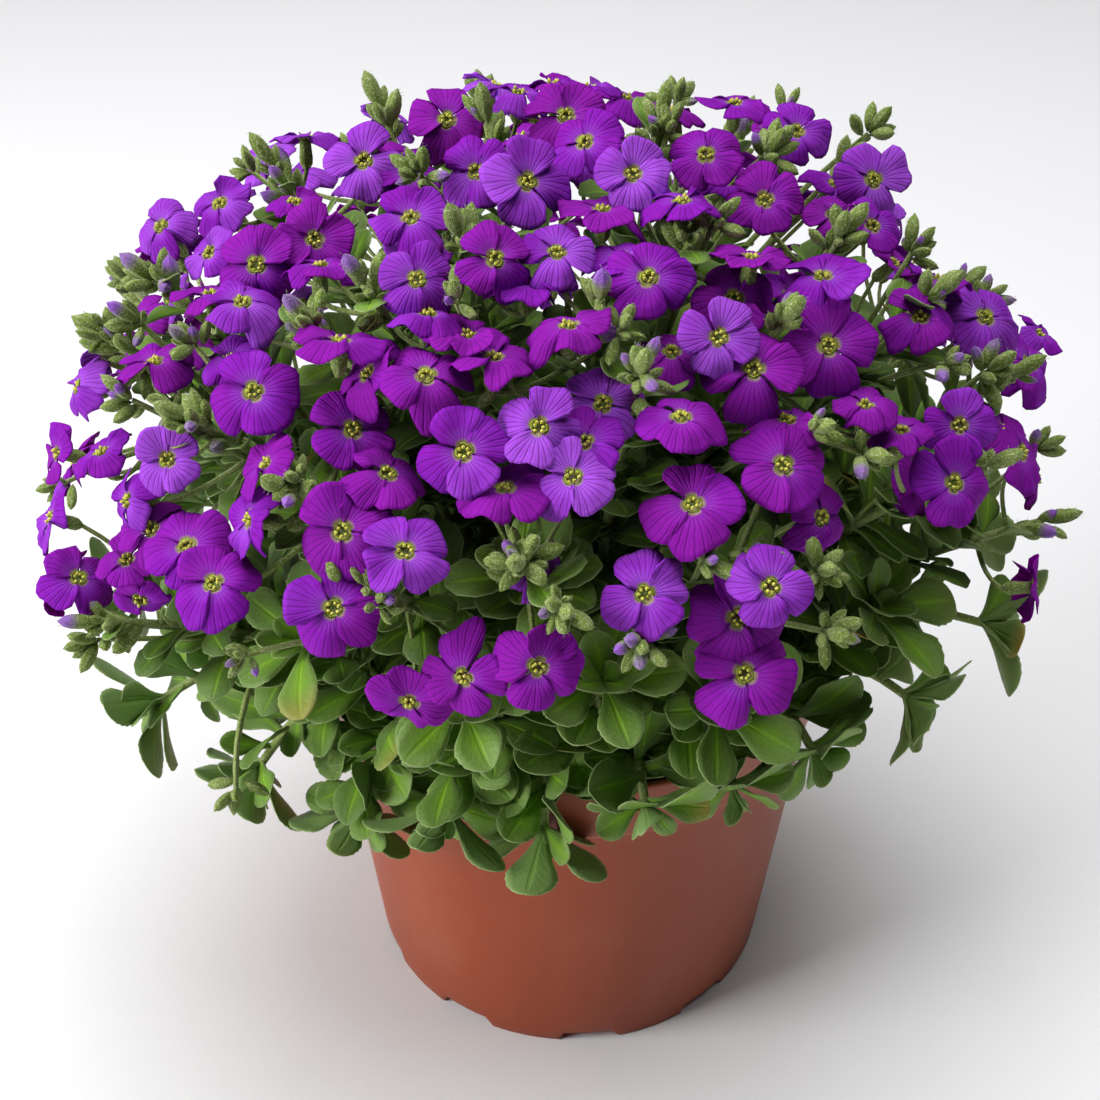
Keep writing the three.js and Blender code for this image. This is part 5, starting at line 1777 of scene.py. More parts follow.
@dataclass(frozen=True)
class Stalks:
    """A flower stalk with its pedicels, calyxes and buds."""

    sides: int = 8
    rows: int = 16
    radii: tuple[float, float] = (1.45, 1.0)
    pedicel_rows: int = 7
    pedicel_sides: int = 6
    pedicel_radii: tuple[float, float] = (0.62, 0.5)
    branch_rows: int = 8
    branch_sides: int = 6
    branch_radii: tuple[float, float] = (0.85, 0.6)
    calyx: tuple = ((0.45, 0.0), (0.95, 0.45), (1.45, 1.3), (1.55, 2.6), (1.38, 4.2),
                    (1.3, 5.4), (1.42, 6.1), (1.2, 6.3), (0.05, 6.0))
    calyx_length: float = 6.4
    calyx_sides: int = 12
    calyx_lobes: float = 0.1
    small_buds: tuple[int, int] = (7, 11)
    cluster_buds: tuple[int, int] = (6, 10)

    def add_stem(self, skin: Skin, curve: Array, tone: float) -> None:
        """Adds the stalk: a thinning tube along its curve.

        Args:
            skin: where it goes.
            curve: its three guiding points.
            tone: its tone, from 0 to 1.
        """
        place = np.linspace(0, 1, self.rows)
        radii = self.radii[0] + (self.radii[1] - self.radii[0]) * place
        points = rings(on_curve(curve, place), radii, self.sides)
        skin.add_tube(points, self.sides, np.array([tone, 0.0, 0.0]))

    def add_pedicels(self, skin: Skin, plans: Sequence[BloomPlan], rng: np.random.Generator) -> None:
        """Adds a bent pedicel to each bloom, and its calyx: a lobed profile about the face.

        Args:
            skin: where they go.
            plans: the blooms.
            rng: where their differences come from.
        """
        place = np.linspace(0, 1, self.pedicel_rows)
        radii = self.pedicel_radii[0] + (self.pedicel_radii[1] - self.pedicel_radii[0]) * place
        for plan in plans:
            foot = plan.eye - (CALYX_DEPTH + self.calyx_length - 0.4) * plan.face
            reach = np.linalg.norm(foot - plan.root)
            bend = foot - plan.face * reach * 0.3
            bend = bend * 0.6 + (foot + plan.root) * 0.2
            path = on_curve(np.array([plan.root, bend, foot]), place)
            points = rings(path, radii, self.pedicel_sides)
            skin.add_tube(points, self.pedicel_sides, np.array([rng.uniform(), 0.0, 0.0]))
        axes = np.array([plan.face for plan in plans])
        origins = np.array([plan.eye for plan in plans]) - (CALYX_DEPTH + self.calyx_length - 0.3) * axes
        turns = frames(axes, np.array([plan.spin for plan in plans]))
        shade = np.zeros((len(plans), 1, 3))
        shade[:, 0, 0] = rng.uniform(0, 1, len(plans))
        shade[:, 0, 2] = rng.uniform(0, 1, len(plans)) ** 3
        calyx = turned(np.array(self.calyx), self.calyx_sides, PETALS, self.calyx_lobes)
        skin.add_tube(placed(calyx, turns, origins), self.calyx_sides, shade, CALYX_SLOT)

    def bud_places(self, curve: Array, index: int, rng: np.random.Generator) -> tuple:
        """Places a stalk's buds: the solid's three, and small ones.

        Args:
            curve: the stalk's curve.
            index: the spray's number, from 0, which seeds the shared draws.
            rng: where the small ones' places come from.

        Returns:
            Their roots, axes and lengths.
        """
        draw = Draws(BUD_SEED + index)
        ahead = heading(curve, 1)
        roots, axes, lengths = [curve[2]], [ahead], [BUD_LENGTH]
        for i in range(SIDE_BUDS):
            across, _ = square_to(ahead, (i + draw.one()) * TAU / SIDE_BUDS)
            lean = draw.within(SIDE_BUD_LEAN)
            axes.append(unit(ahead + across * lean))
            roots.append(on_stem(curve, SIDE_BUD_TOP - SIDE_BUD_STEP * i))
            lengths.append(BUD_LENGTH * draw.within(SIDE_BUD_SIZE))
        for k in range(int(rng.integers(*self.small_buds))):
            place = 1 - rng.uniform(0, 0.07)
            across, _ = square_to(ahead, k * GOLDEN_ANGLE + rng.uniform(-0.3, 0.3))
            lean = rng.uniform(0.35, 1.25)
            axes.append(unit(ahead + across * lean))
            roots.append(on_curve(curve, place) + axes[-1] * rng.uniform(0.2, 2.2))
            lengths.append(rng.uniform(3.8, 7.2))
        return np.array(roots), np.array(axes), np.array(lengths)

    def add_side_cluster(self, skin: Skin, curve: Array, tip: Array, buds: Buds,
                         rng: np.random.Generator) -> None:
        """Adds a side branch with a cluster of buds.

        Args:
            skin: where it goes.
            curve: the stalk's curve.
            tip: where the branch ends.
            buds: how the buds are made.
            rng: where the buds' number, turns and sizes come from.
        """
        root = on_curve(curve, rng.uniform(0.5, 0.72))
        outward = unit(tip - DOME_CENTRE)
        bend = (root + tip) / 2 + heading(curve, 0.7) * 6
        path = on_curve(np.array([root, bend, tip]), np.linspace(0, 1, self.branch_rows))
        points = rings(path, np.linspace(*self.branch_radii, self.branch_rows), self.branch_sides)
        skin.add_tube(points, self.branch_sides, np.array([rng.uniform(), 0.0, 0.0]))
        ahead = unit(unit(path[-1] - path[-2]) + outward)
        count = int(rng.integers(*self.cluster_buds))
        turns = GOLDEN_ANGLE * np.arange(count)
        leans = np.linspace(0.15, 1.35, count) + rng.uniform(-0.1, 0.1, count)
        across, over = square_to(ahead)
        sides = across * np.cos(turns)[:, None] + over * np.sin(turns)[:, None]
        axes = unit(ahead * np.cos(leans)[:, None] + sides * np.sin(leans)[:, None])
        down = rng.uniform(0, 3.2, count) * np.linspace(0.2, 1, count)
        roots = tip - ahead * down[:, None] + axes * 0.8
        buds.add_to(skin, roots, axes, rng.uniform(4.2, 8.2, count), rng)


# Leaf outlines: places along and half widths, as shares of the length
TOOTHED = ((0, 0.055), (0.12, 0.055), (0.24, 0.075), (0.35, 0.115), (0.46, 0.175), (0.56, 0.23),
           (0.64, 0.262), (0.705, 0.283), (0.725, 0.268), (0.79, 0.27), (0.812, 0.25), (0.87, 0.238),
           (0.892, 0.214), (0.945, 0.165), (0.985, 0.1), (1, 0.03))
PLAIN = ((0, 0.055), (0.2, 0.065), (0.38, 0.13), (0.54, 0.22), (0.69, 0.275), (0.8, 0.264), (0.89, 0.216),
         (0.95, 0.152), (0.985, 0.098), (1, 0.03))
COARSE = ((0, 0.05), (0.3, 0.085), (0.55, 0.22), (0.76, 0.27), (0.93, 0.18), (1, 0.04))


class Grade(Enum):
    """How finely leaves are made: the corners across, and the outline."""

    NEAR = (7, TOOTHED)
    MIDDLE = (5, TOOTHED)
    INNER = (5, PLAIN)
    DEEP = (3, COARSE)


@dataclass(frozen=True)
class Leaves:
    """Downy, spoon-shaped leaves with a few coarse teeth towards the tip."""

    grade: Grade
    thickness: tuple[float, float] = (0.8, 0.32)
    age_power: int = 40

    @property
    def cols(self) -> int:
        """Returns how many corners lie across a leaf."""
        return self.grade.value[0]

    @property
    def table(self) -> Array:
        """Returns the outline: places along and half widths, as shares of the length."""
        return np.array(self.grade.value[1])

    def middle(self, plans: Sequence[LeafPlan], rng: np.random.Generator) -> Array:
        """Works the leaves' middle surfaces out.

        With s along from 0 to 1 and w across from -1 to 1, a corner lies at root + along s L +
        side w width(s) L + normal (fold |w| width - arch s^2 + ripple sin) L, where the width
        follows the toothed outline.

        Args:
            plans: the leaves.
            rng: where their small differences come from.

        Returns:
            Corners shaped (leaves, rows, columns, 3).
        """
        count = len(plans)
        s, half = self.table[None, :, None, 0], self.table[None, :, None, 1]
        w = np.linspace(-1, 1, self.cols)[None, None, :]

        def drawn(low: float, high: float) -> Array:
            """Returns one number for each leaf, shaped to fit the grid."""
            return rng.uniform(low, high, (count, 1, 1))

        length = np.array([plan.length for plan in plans])[:, None, None]
        arch = np.array([plan.arch for plan in plans])[:, None, None]
        width = half * drawn(0.9, 1.15)
        sweep = drawn(-0.06, 0.06) * s**2
        fold = drawn(0.05, 0.4) * (np.sqrt(w**2 + 0.04) - 0.2) * width
        ripple = drawn(0.0, 0.022) * np.sin(s * drawn(9, 15) + w * 2 + drawn(0, TAU)) * np.abs(w)
        rise = fold + ripple * smooth(0.3, 0.6, s) - arch * s**2 - drawn(-0.05, 0.1) * s**3
        local = np.stack(np.broadcast_arrays(w * width + sweep, s, rise), -1) * length[..., None]
        along = np.array([plan.along for plan in plans])
        side = unit(np.cross(along, np.array([plan.upper for plan in plans])))
        turns = np.stack([side, along, np.cross(side, along)], 1)
        roots = np.array([plan.root for plan in plans])
        return np.einsum("krci,kij->krcj", local, turns) + roots[:, None, None]

    def add_to(self, skin: Skin, plans: Sequence[LeafPlan], tones: Array,
               rng: np.random.Generator, slot: int = 0) -> None:
        """Adds leaves.

        Args:
            skin: where they go.
            plans: the leaves.
            tones: how bright each is, from 0 to 1.
            rng: where their small differences come from.
            slot: the index of the leaf material.
        """
        rows = len(self.table)
        middle = self.middle(plans, rng)
        start, end = self.thickness
        body = (start + (end - start) * smooth(0.3, 0.6, self.table[:, 0]))[None, :, None]
        across = np.abs(np.linspace(-1, 1, self.cols))[None, None, :]
        ages = rng.uniform(0, 1, len(plans)) ** self.age_power
        shade = blade_paint(tones, ages, rows * self.cols)
        faces = blade_faces(rows, self.cols)
        skin.add(blades(middle, body * (1.15 - 0.45 * across)), faces,
                 blade_maps(rows, self.cols), shade, slot)


@dataclass(frozen=True)
class Foliage:
    """Grows the leaves that the photo shows between those of the solids."""

    heart_leaves: int = 6
    lowest: tuple[float, float] = (93.0, 106.0)
    lowest_between: tuple[float, float] = (-35.0, 15.0)
    rim_slope: float = 0.85
    rim_margin: float = 10.0
    rim_clearance: float = 2.0
    lengths: tuple[float, float] = (13.0, 21.0)
    lift: float = 0.3
    upward: float = 1.3
    arches: tuple[float, float] = (0.05, 0.3)

    def clears_rim(self, root: Array, tip: Array) -> bool:
        """Tells whether a leaf keeps clear of the pot's rim.

        Args:
            root: where it starts, in mm.
            tip: where it ends.

        Returns:
            False where it would pass through the rim, or hang below it: at the plant's left it
            may hang low, and at the right it leaves the rim open.
        """
        near, far = math.hypot(root[0], root[1]), math.hypot(tip[0], tip[1])
        if far < POT_TOP_RADIUS - self.rim_margin:
            return True
        low, high = self.lowest
        bare = float(smooth(*self.lowest_between, tip[0]))
        lowest = low + (high - low + self.rim_slope * max(far - POT_TOP_RADIUS, 0)) * bare
        share = min(max((POT_TOP_RADIUS - near) / max(far - near, 0.1), 0), 1)
        crossing = root[2] + (tip[2] - root[2]) * share
        over = near > POT_TOP_RADIUS or crossing > POT_HEIGHT + self.rim_clearance
        return tip[2] > lowest and over

    def extras(self, curve: Array, count: int, rng: np.random.Generator,
               top: float = 0.98, shrink: float = 0.1, low: float = 0.12) -> list[LeafPlan]:
        """Plans more leaves along a stem, turned by the golden angle from one to the next.

        Args:
            curve: the stem's curve.
            count: how many.
            rng: where their turns, lengths and leans come from.
            top: the highest place on the curve.
            shrink: by what share the leaves at the tip are shorter.
            low: the lowest place on the curve.

        Returns:
            The leaves' plans.
        """
        plans = []
        start = rng.uniform(0, TAU)
        for k in range(count):
            place = low + (top - low) * (k + rng.uniform(0, 0.7)) / count
            axis = heading(curve, place)
            across, _ = square_to(axis, start + k * GOLDEN_ANGLE)
            along = leaning(axis, across, rng.uniform(0.7, 1.25))
            along = unit(along + UP * self.lift)
            shorter = shrink * float(smooth(0.4, 1.0, np.array(place)))
            length = rng.uniform(*self.lengths) * (1 - shorter)
            root = on_curve(curve, place)
            if not self.clears_rim(root, root + along * length):
                continue
            upper = unit(axis + UP * self.upward)
            plans.append(LeafPlan(root, along, upper, length, rng.uniform(*self.arches)))
        return plans

    @staticmethod
    def tones(plans: Sequence[LeafPlan], rng: np.random.Generator) -> Array:
        """Draws how bright leaves are: a random share times painted shade that darkens them deep in the
        dome.

        Args:
            plans: the leaves.
            rng: where their differences come from.

        Returns:
            A number from 0 to 1 for each.
        """
        tips = np.array([plan.root + plan.along * plan.length for plan in plans])
        depth = np.linalg.norm((tips - DOME_CENTRE) / DOME_RADII, axis=1)
        # Painted shade: the tone falls from the dome's outside towards its middle.
        return smooth(0.35, 1.05, depth) * rng.uniform(0.35, 1.0, len(plans))

    def heart(self, curve: Array, rng: np.random.Generator) -> list[LeafPlan]:
        """Plans the small upright leaves in the middle of a rosette.

        Args:
            curve: the shoot's three guiding points.
            rng: where their differences come from.

        Returns:
            The leaves' plans.
        """
        axis = heading(curve, 1)
        root = curve[2] + axis * 2
        plans = []
        for k in range(self.heart_leaves):
            across, _ = square_to(axis, k * GOLDEN_ANGLE + rng.uniform(0, 1))
            along = leaning(axis, across, 0.2 + 0.13 * k + rng.uniform(0, 0.15))
            along = unit(along + UP * 0.12 * k)
            upper = unit(axis + UP * 0.25 * k)
            plans.append(LeafPlan(root, along, upper, 7 + 1.3 * k + rng.uniform(0, 2), 0.1))
        return plans


def clusters_by_spray(sprays: Sequence[SprayPlan]) -> list[list[Array]]:
    """Shares the buds' side branches out, each to the spray whose tip is nearest.

    Args:
        sprays: the sprays' plans.

    Returns:
        The tips of the branches of each spray.
    """
    tips = [Growth.place_on_dome(x, y, back) for x, y, back in SIDE_CLUSTERS_IN_VIEW]
    tips += [p - n * SIDE_CLUSTER_SETBACK for p, n in Growth.hidden_places(HIDDEN_SIDE_CLUSTERS)]
    ends = np.array([spray.curve[2] for spray in sprays])
    groups: list[list[Array]] = [[] for _ in sprays]
    for tip in tips:
        groups[int(np.linalg.norm(ends - tip, axis=1).argmin())].append(tip)
    return groups


def inner_blooms(sprays: Sequence[SprayPlan]) -> list[list[BloomPlan]]:
    """Plans the half-hidden blooms that close the gaps between the others, for each spray.

    Args:
        sprays: the sprays' plans. Of a lattice over the whole dome, the place that is furthest
            from every bloom gets the next one, set back from the dome.

    Returns:
        The inner blooms of each spray.
    """
    rng = np.random.default_rng(INNER_BLOOM_SEED)
    ends = np.array([spray.curve[2] for spray in sprays])
    eyes = np.array([bloom.eye for spray in sprays for bloom in spray.blooms])
    places = Growth.hidden_places(INNER_LATTICE, 2.0)
    open_places = [
        (place - normal * rng.uniform(*INNER_SETBACK), normal)
        for place, normal in places
        if place[2] > (INNER_LOWEST_FRONT if normal @ VIEW_BACK > 0 else INNER_LOWEST_BACK)
    ]
    groups: list[list[BloomPlan]] = [[] for _ in sprays]
    for _ in range(INNER_BLOOMS):
        gaps = [float(np.linalg.norm(eyes - eye, axis=1).min()) for eye, _ in open_places]
        eye, normal = open_places.pop(int(np.argmax(gaps)))
        eyes = np.vstack([eyes, eye])
        face = unit(normal + rng.uniform(*INNER_LEAN))
        plan = BloomPlan(eye, face, rng.uniform(*INNER_RADIUS), 0.0, -normal, rng.uniform() ** 2)
        nearest = int(np.linalg.norm(ends - eye, axis=1).argmin())
        plan.root = on_curve(sprays[nearest].curve, rng.uniform(*INNER_BRANCH))
        plan.spin = rng.uniform(0, TAU)
        plan.droops = list(rng.uniform(*PETAL_DROOP, PETALS))
        groups[nearest].append(plan)
    return groups


@dataclass(frozen=True)
class Spray:
    """One flower stalk's pieces: its blooms, and its green parts.

    Its number counts from 0, inner are its half-hidden blooms, and clusters are the tips of the
    side branches that only carry buds.
    """

    number: int
    plan: SprayPlan
    inner: list[BloomPlan]
    clusters: list[Array]
    buds: Buds
    finishes: Finishes
    foliage: Foliage = Foliage()
    seen_petals: Petals = Petals()
    unseen_petals: Petals = Petals(6, 9)
    inner_petals: Petals = Petals(6, 7)
    petal_seed: int = 3000
    green_seed: int = 3300
    deep_leaves: int = 36
    deep_top: float = 0.86
    # Scale of the deep leaves' tones: painted shade inside the dome
    deep_painted_shade: float = 0.6
    upper_leaves: int = 12
    upper_between: tuple[float, float] = (0.55, 0.97)
    upper_shrink: float = 0.45

    def build(self) -> None:
        """Makes both pieces."""
        node = f"spray_{self.number + 1:02d}"
        rng = np.random.default_rng(self.petal_seed + self.number)
        blooms = self.plan.blooms + self.inner
        seen = [bloom for bloom in self.plan.blooms if bloom.face @ VIEW_BACK > 0]
        unseen = [bloom for bloom in self.plan.blooms if bloom.face @ VIEW_BACK <= 0]
        if blooms:
            skin = Skin()
            grades = (self.seen_petals, self.unseen_petals, self.inner_petals)
            for petals, plans in zip(grades, (seen, unseen, self.inner)):
                if plans:
                    petals.add_to(skin, plans, rng)
            Throats().add_to(skin, blooms, rng)
            skin.piece(f"blooms_{self.number + 1:02d}", self.finishes.blooms, "bloom", [node])
        rng = np.random.default_rng(self.green_seed + self.number)
        skin, stalks = Skin(), Stalks()
        stalks.add_stem(skin, self.plan.curve, rng.uniform())
        if blooms:
            stalks.add_pedicels(skin, blooms, rng)
        self.buds.add_to(skin, *stalks.bud_places(self.plan.curve, self.number, rng), rng)
        for tip in self.clusters:
            stalks.add_side_cluster(skin, self.plan.curve, tip, self.buds, rng)
        deep = self.foliage.extras(self.plan.curve, self.deep_leaves, rng, self.deep_top)
        # Painted shade: the deep leaves' tones fall with depth and are scaled down again.
        tones = self.foliage.tones(deep, rng) * self.deep_painted_shade
        Leaves(Grade.DEEP).add_to(skin, deep, tones, rng, LEAF_SLOT)
        low, top = self.upper_between
        upper = self.foliage.extras(self.plan.curve, self.upper_leaves, rng, top, self.upper_shrink, low)
        tones = self.foliage.tones(upper, rng)
        Leaves(Grade.INNER).add_to(skin, upper, tones, rng, LEAF_SLOT)
        materials = [*self.finishes.greens, self.finishes.hair, self.finishes.leaf]
        skin.piece(f"stalks_{self.number + 1:02d}", materials, "leaf", [node])


@dataclass(frozen=True)
class LeafyShoot:
    """One leafy shoot: its stem, its rosette and its leaves. Its number counts from 0."""

    number: int
    plan: ShootPlan
    finishes: Finishes
    foliage: Foliage = Foliage()
    seed: int = 3600
    stem_rows: int = 14
    stem_sides: int = 8
    stem_radii: tuple[float, float] = (1.6, 1.0)
    extra: tuple[int, int] = (18, 22)
    extra_between: tuple[float, float] = (0.2, 0.98)
    fuller: tuple[int, ...] = (2, 3, 4, 19, 20)
    fuller_by: int = 8
    over_rim: tuple[int, ...] = (7, 8, 9)
    rim_rise: float = 0.75
    raised: tuple[int, ...] = (10, 11, 12)
    raised_rise: float = 0.6
    heart_tones: tuple[float, float] = (0.6, 1.0)

    def leaves(self) -> list[LeafPlan]:
        """Takes the solid's leaves, those at the plant's right a little less drooped.

        The tips over the open part of the rim come up most of the way to where they show it.

        Returns:
            The leaves' plans.
        """
        leaves = []
        for leaf in self.plan.leaves:
            reach = leaf.along * leaf.length
            tip = leaf.root + reach
            rise = 0.0
            if self.number in self.raised:
                rise = max(-self.raised_rise * reach[2], 0.0)
            if self.number in self.over_rim:
                beyond = math.hypot(tip[0], tip[1]) - POT_TOP_RADIUS
                bare = POT_HEIGHT + self.foliage.rim_clearance + self.foliage.rim_slope * beyond
                rise = self.rim_rise * max(bare - tip[2], 0.0)
            along = unit(reach + UP * rise)
            leaves.append(LeafPlan(leaf.root, along, leaf.upper, leaf.length, leaf.arch))
        return leaves

    def build(self) -> None:
        """Makes the piece."""
        rng = np.random.default_rng(self.seed + self.number)
        skin = Skin()
        path = on_curve(self.plan.curve, np.linspace(0, 1, self.stem_rows))
        neck = path[-1] + heading(self.plan.curve, 1) * ROSETTE_NECK
        radii = np.linspace(*self.stem_radii, self.stem_rows + 1)
        points = rings(np.vstack([path, neck]), radii, self.stem_sides)
        skin.add_tube(points, self.stem_sides, np.array([0.5, 0.0, 0.0]))
        count = int(rng.integers(*self.extra)) + self.fuller_by * (self.number in self.fuller)
        main = self.leaves()
        low, top = self.extra_between
        extras = self.foliage.extras(self.plan.curve, count, rng, top, low=low)
        heart = self.foliage.heart(self.plan.curve, rng)
        inner = len(extras) * 2 // 5
        groups = ((Grade.NEAR, main), (Grade.INNER, extras[:inner]), (Grade.MIDDLE, extras[inner:]))
        for grade, plans in groups:
            tones = self.foliage.tones(plans, rng)
            Leaves(grade).add_to(skin, plans, tones, rng, SHOOT_LEAF_SLOT)
        tones = rng.uniform(*self.heart_tones, len(heart))
        Leaves(Grade.MIDDLE).add_to(skin, heart, tones, rng, SHOOT_LEAF_SLOT)
        name = f"shoot_{self.number + 1:02d}"
        materials = [self.finishes.greens[0], self.finishes.leaf]
        skin.piece(name, materials, "leaf", [f"leafy_{name}"])


@dataclass(frozen=True)
class Pot:
    """A nursery pot: a slight taper, a wide rim band and drainage notches under its foot."""

    sides: int = 300
    sharp: float = 0.35
    inner_rings: int = 9

    def notch(self, bearing: Array) -> Array:
        """Tells where a notch is cut under the foot.

        Args:
            bearing: bearings in degrees.

        Returns:
            1 in a notch and 0 elsewhere, with steep flanks.
        """
        pitch = 360 / NOTCH_COUNT
        off = np.abs((bearing - FIRST_NOTCH_DEGREES + pitch / 2) % pitch - pitch / 2)
        return 1 - smooth(NOTCH_DEGREES / 2 - 0.5, NOTCH_DEGREES / 2 + 0.5, off)

    def build(self, finishes: Finishes) -> None:
        """Makes the piece: a closed profile turned about Z, its foot lifted where a notch is.

        Args:
            finishes: the materials.
        """
        bearing = np.degrees(TAU * np.arange(self.sides) / self.sides) + 90
        lift = self.notch(bearing)[None]
        base, top, edge = POT_BASE_RADIUS, POT_TOP_RADIUS, self.sharp

        def wall(z: float) -> float:
            """Returns the wall's outer radius at a height."""
            return base + (top - BAND_STEP - base) * z / POT_HEIGHT

        foot = base - FOOT_WIDTH
        rows = [
            (0.05, FLOOR_LIFT, 0), (foot * 0.5, FLOOR_LIFT, 0), (foot - edge, FLOOR_LIFT, 0),
            (foot, FLOOR_LIFT - edge, 0.6), (foot, edge, 1), (foot + edge, 0, 1), (base - edge, 0, 1),
            (base, edge, 1), (wall(NOTCH_HEIGHT + 0.6), NOTCH_HEIGHT + 0.6, 0.0),
            *((wall(z), z, 0) for z in np.linspace(8, 80, 10)),
            (wall(BAND_BOTTOM) - 0.05, BAND_BOTTOM - 0.4, 0), (wall(BAND_BOTTOM) + 0.12, BAND_BOTTOM, 0),
            (wall(BAND_BOTTOM) + BAND_STEP, BAND_BOTTOM + 0.3, 0),
            (wall(BAND_BOTTOM) + BAND_STEP + 0.05, BAND_BOTTOM + 1, 0),
            (top - 0.35, POT_HEIGHT - 5, 0), (top - 0.02, POT_HEIGHT - 1.2, 0),
            (top - 0.1, POT_HEIGHT - 0.35, 0), (top - 0.45, POT_HEIGHT, 0),
            (top - POT_WALL + 0.35, POT_HEIGHT, 0), (top - POT_WALL, POT_HEIGHT - 0.4, 0),
            (wall(BAND_BOTTOM) - POT_WALL + 0.3, BAND_BOTTOM + 2, 0),
            *((wall(z) - POT_WALL, z, 0) for z in (BAND_BOTTOM, 60, 30, FLOOR_TOP + 1)),
            (wall(FLOOR_TOP) - POT_WALL - 1, FLOOR_TOP, 0), (30, FLOOR_TOP, 0), (0.05, FLOOR_TOP, 0),
        ]
        radius, height, share = np.array(rows).T[..., None]
        height = height + (NOTCH_HEIGHT - height) * np.clip(share * lift, 0, 1)
        turn = np.radians(bearing)[None]
        wall_points = np.stack([radius * np.cos(turn), radius * np.sin(turn), height], -1)
        ends = [[0, 0, FLOOR_LIFT], [0, 0, FLOOR_TOP]]
        points = np.concatenate([wall_points.reshape(-1, 3), ends])
        inside = np.arange(len(rows)) >= len(rows) - self.inner_rings
        shade = np.zeros((len(points), 3))
        shade[:-2, 1] = np.repeat(inside, self.sides)
        # The age paint: 0.45 on the rim band, which the finish makes a little paler, and 1 on the crest
        # of the band's step, a painted highlight.
        above = height[:, 0] - BAND_BOTTOM
        band = np.where((above > 0.2) & ~inside, 0.45, 0) + 0.55 * (np.abs(above - 0.3) < 0.05)
        shade[:-2, 2] = np.repeat(band, self.sides)
        skin = Skin()
        skin.add_tube(points, self.sides, shade)
        skin.piece("pot_shell", [finishes.pot], "pot", ["pot"])


@dataclass(frozen=True)
class Soil:
    """The peat: a lumpy fill with crumbs and a few dry leaves on it."""

    rows: int = 26
    sides: int = 108
    bottom: float = 34.0
    waist: float = 60.0
    seed: int = 71
    crumbs: int = 220
    crumb_reach: float = 60.0
    crumb_sizes: tuple[float, float] = (0.5, 1.7)
    crumb_sides: int = 6
    crumb: tuple = ((0.03, -0.8), (0.75, -0.45), (0.95, 0.1), (0.6, 0.7), (0.03, 0.85))
    dry_leaves: tuple = ((-0.5, 61.0), (-0.85, 58.0), (0.15, 60.0), (1.1, 57.0), (2.4, 55.0))

    @staticmethod
    def height(x: Array, y: Array) -> Array:
        """Works out the peat's height: the solid's level with waves of four lengths.

        Args:
            x: places across, in mm.
            y: places front to back.

        Returns:
            The heights in mm.
        """
        bumps = 0.9 * np.sin(x / 7.1 + 1.3) * np.sin(y / 6.3 + 0.4)
        bumps = bumps + 0.6 * np.sin(x / 2.9 + y / 3.7) * np.sin(y / 2.3 - x / 4.1)
        bumps = bumps + 0.3 * np.sin(x / 1.1 - y / 1.7 + 2) * np.sin(y / 0.9 + x / 2.1)
        return SOIL_TOP - 0.6 + bumps

    def build(self, finishes: Finishes) -> None:
        """Makes the peat as a closed fill and the dry leaves as a piece of their own.

        Args:
            finishes: the materials.
        """
        rng = np.random.default_rng(self.seed)
        turn = TAU * np.arange(self.sides) / self.sides

        def reach(z: Array | float) -> Array | float:
            """Returns the fill's radius at a height, just inside the pot's wall."""
            return POT_BASE_RADIUS + (POT_TOP_RADIUS - POT_BASE_RADIUS) * z / POT_HEIGHT - POT_WALL - 0.5

        low = [0.05, 30, reach(self.bottom), reach(self.waist), reach(SOIL_TOP - 3)]
        radius = np.concatenate([low, reach(SOIL_TOP - 2) * np.linspace(1, 0.001, self.rows)])
        x, y = radius[:, None] * np.cos(turn), radius[:, None] * np.sin(turn)
        z = self.height(x, y)
        z[:3], z[3], z[4] = self.bottom, self.waist, SOIL_TOP - 4
        wall = np.stack([x, y, z], -1).reshape(-1, 3)
        points = np.concatenate([wall, [[0, 0, self.bottom], [0, 0, z[-1, 0]]]])
        skin = Skin()
        skin.add_tube(points, self.sides, NO_PAINT)
        reaches = self.crumb_reach * np.sqrt(rng.uniform(0.2, 1, self.crumbs))
        bearings = rng.uniform(0, TAU, self.crumbs)
        places = np.stack([reaches * np.cos(bearings), reaches * np.sin(bearings)], -1)
        sizes = rng.uniform(*self.crumb_sizes, self.crumbs)
        level = self.height(places[:, 0], places[:, 1]) - sizes * 0.1
        crumb = turned(np.array(self.crumb), self.crumb_sides, 3, 0.2)
        axes = unit(rng.normal(size=(self.crumbs, 3)))
        turns = frames(axes, rng.uniform(0, TAU, self.crumbs))
        crumbs = placed(crumb, turns, np.column_stack([places, level]), sizes)
        skin.add_tube(crumbs, self.crumb_sides, NO_PAINT)
        skin.piece("peat", [finishes.peat], "soil", ["soil"])
        plans = []
        for bearing, reach_out in self.dry_leaves:
            out = np.array([math.sin(bearing), -math.cos(bearing), 0.0])
            over = np.array([math.cos(bearing), math.sin(bearing), 0.0])
            root = out * (reach_out - 8)
            root = root + UP * (float(self.height(root[0], root[1])) + 1.2)
            along = unit(out + over * rng.uniform(-1, 1) + UP * rng.uniform(0.05, 0.3))
            plans.append(LeafPlan(root, along, UP, rng.uniform(9, 14), rng.uniform(-0.2, 0.2)))
        skin = Skin()
        Leaves(Grade.NEAR).add_to(skin, plans, np.zeros(len(plans)), rng)
        skin.piece("dry_leaves", [finishes.dry], "leaf", [])


@dataclass(frozen=True)
class Lamp:
    """A square soft light that looks at the plant: its place and side in metres, its power in watts."""

    name: str
    place: tuple[float, float, float]
    size: float
    power: float

    def hang(self) -> None:
        """Adds the light."""
        data = bpy.data.lights.new(self.name, "AREA")
        data.size, data.energy = self.size, self.power
        lamp = bpy.data.objects.new(self.name, data)
        lamp.location = self.place
        aim = Vector((0, 0, 0.12)) - Vector(self.place)
        lamp.rotation_euler = aim.to_track_quat("-Z", "Y").to_euler()
        bpy.context.scene.collection.objects.link(lamp)


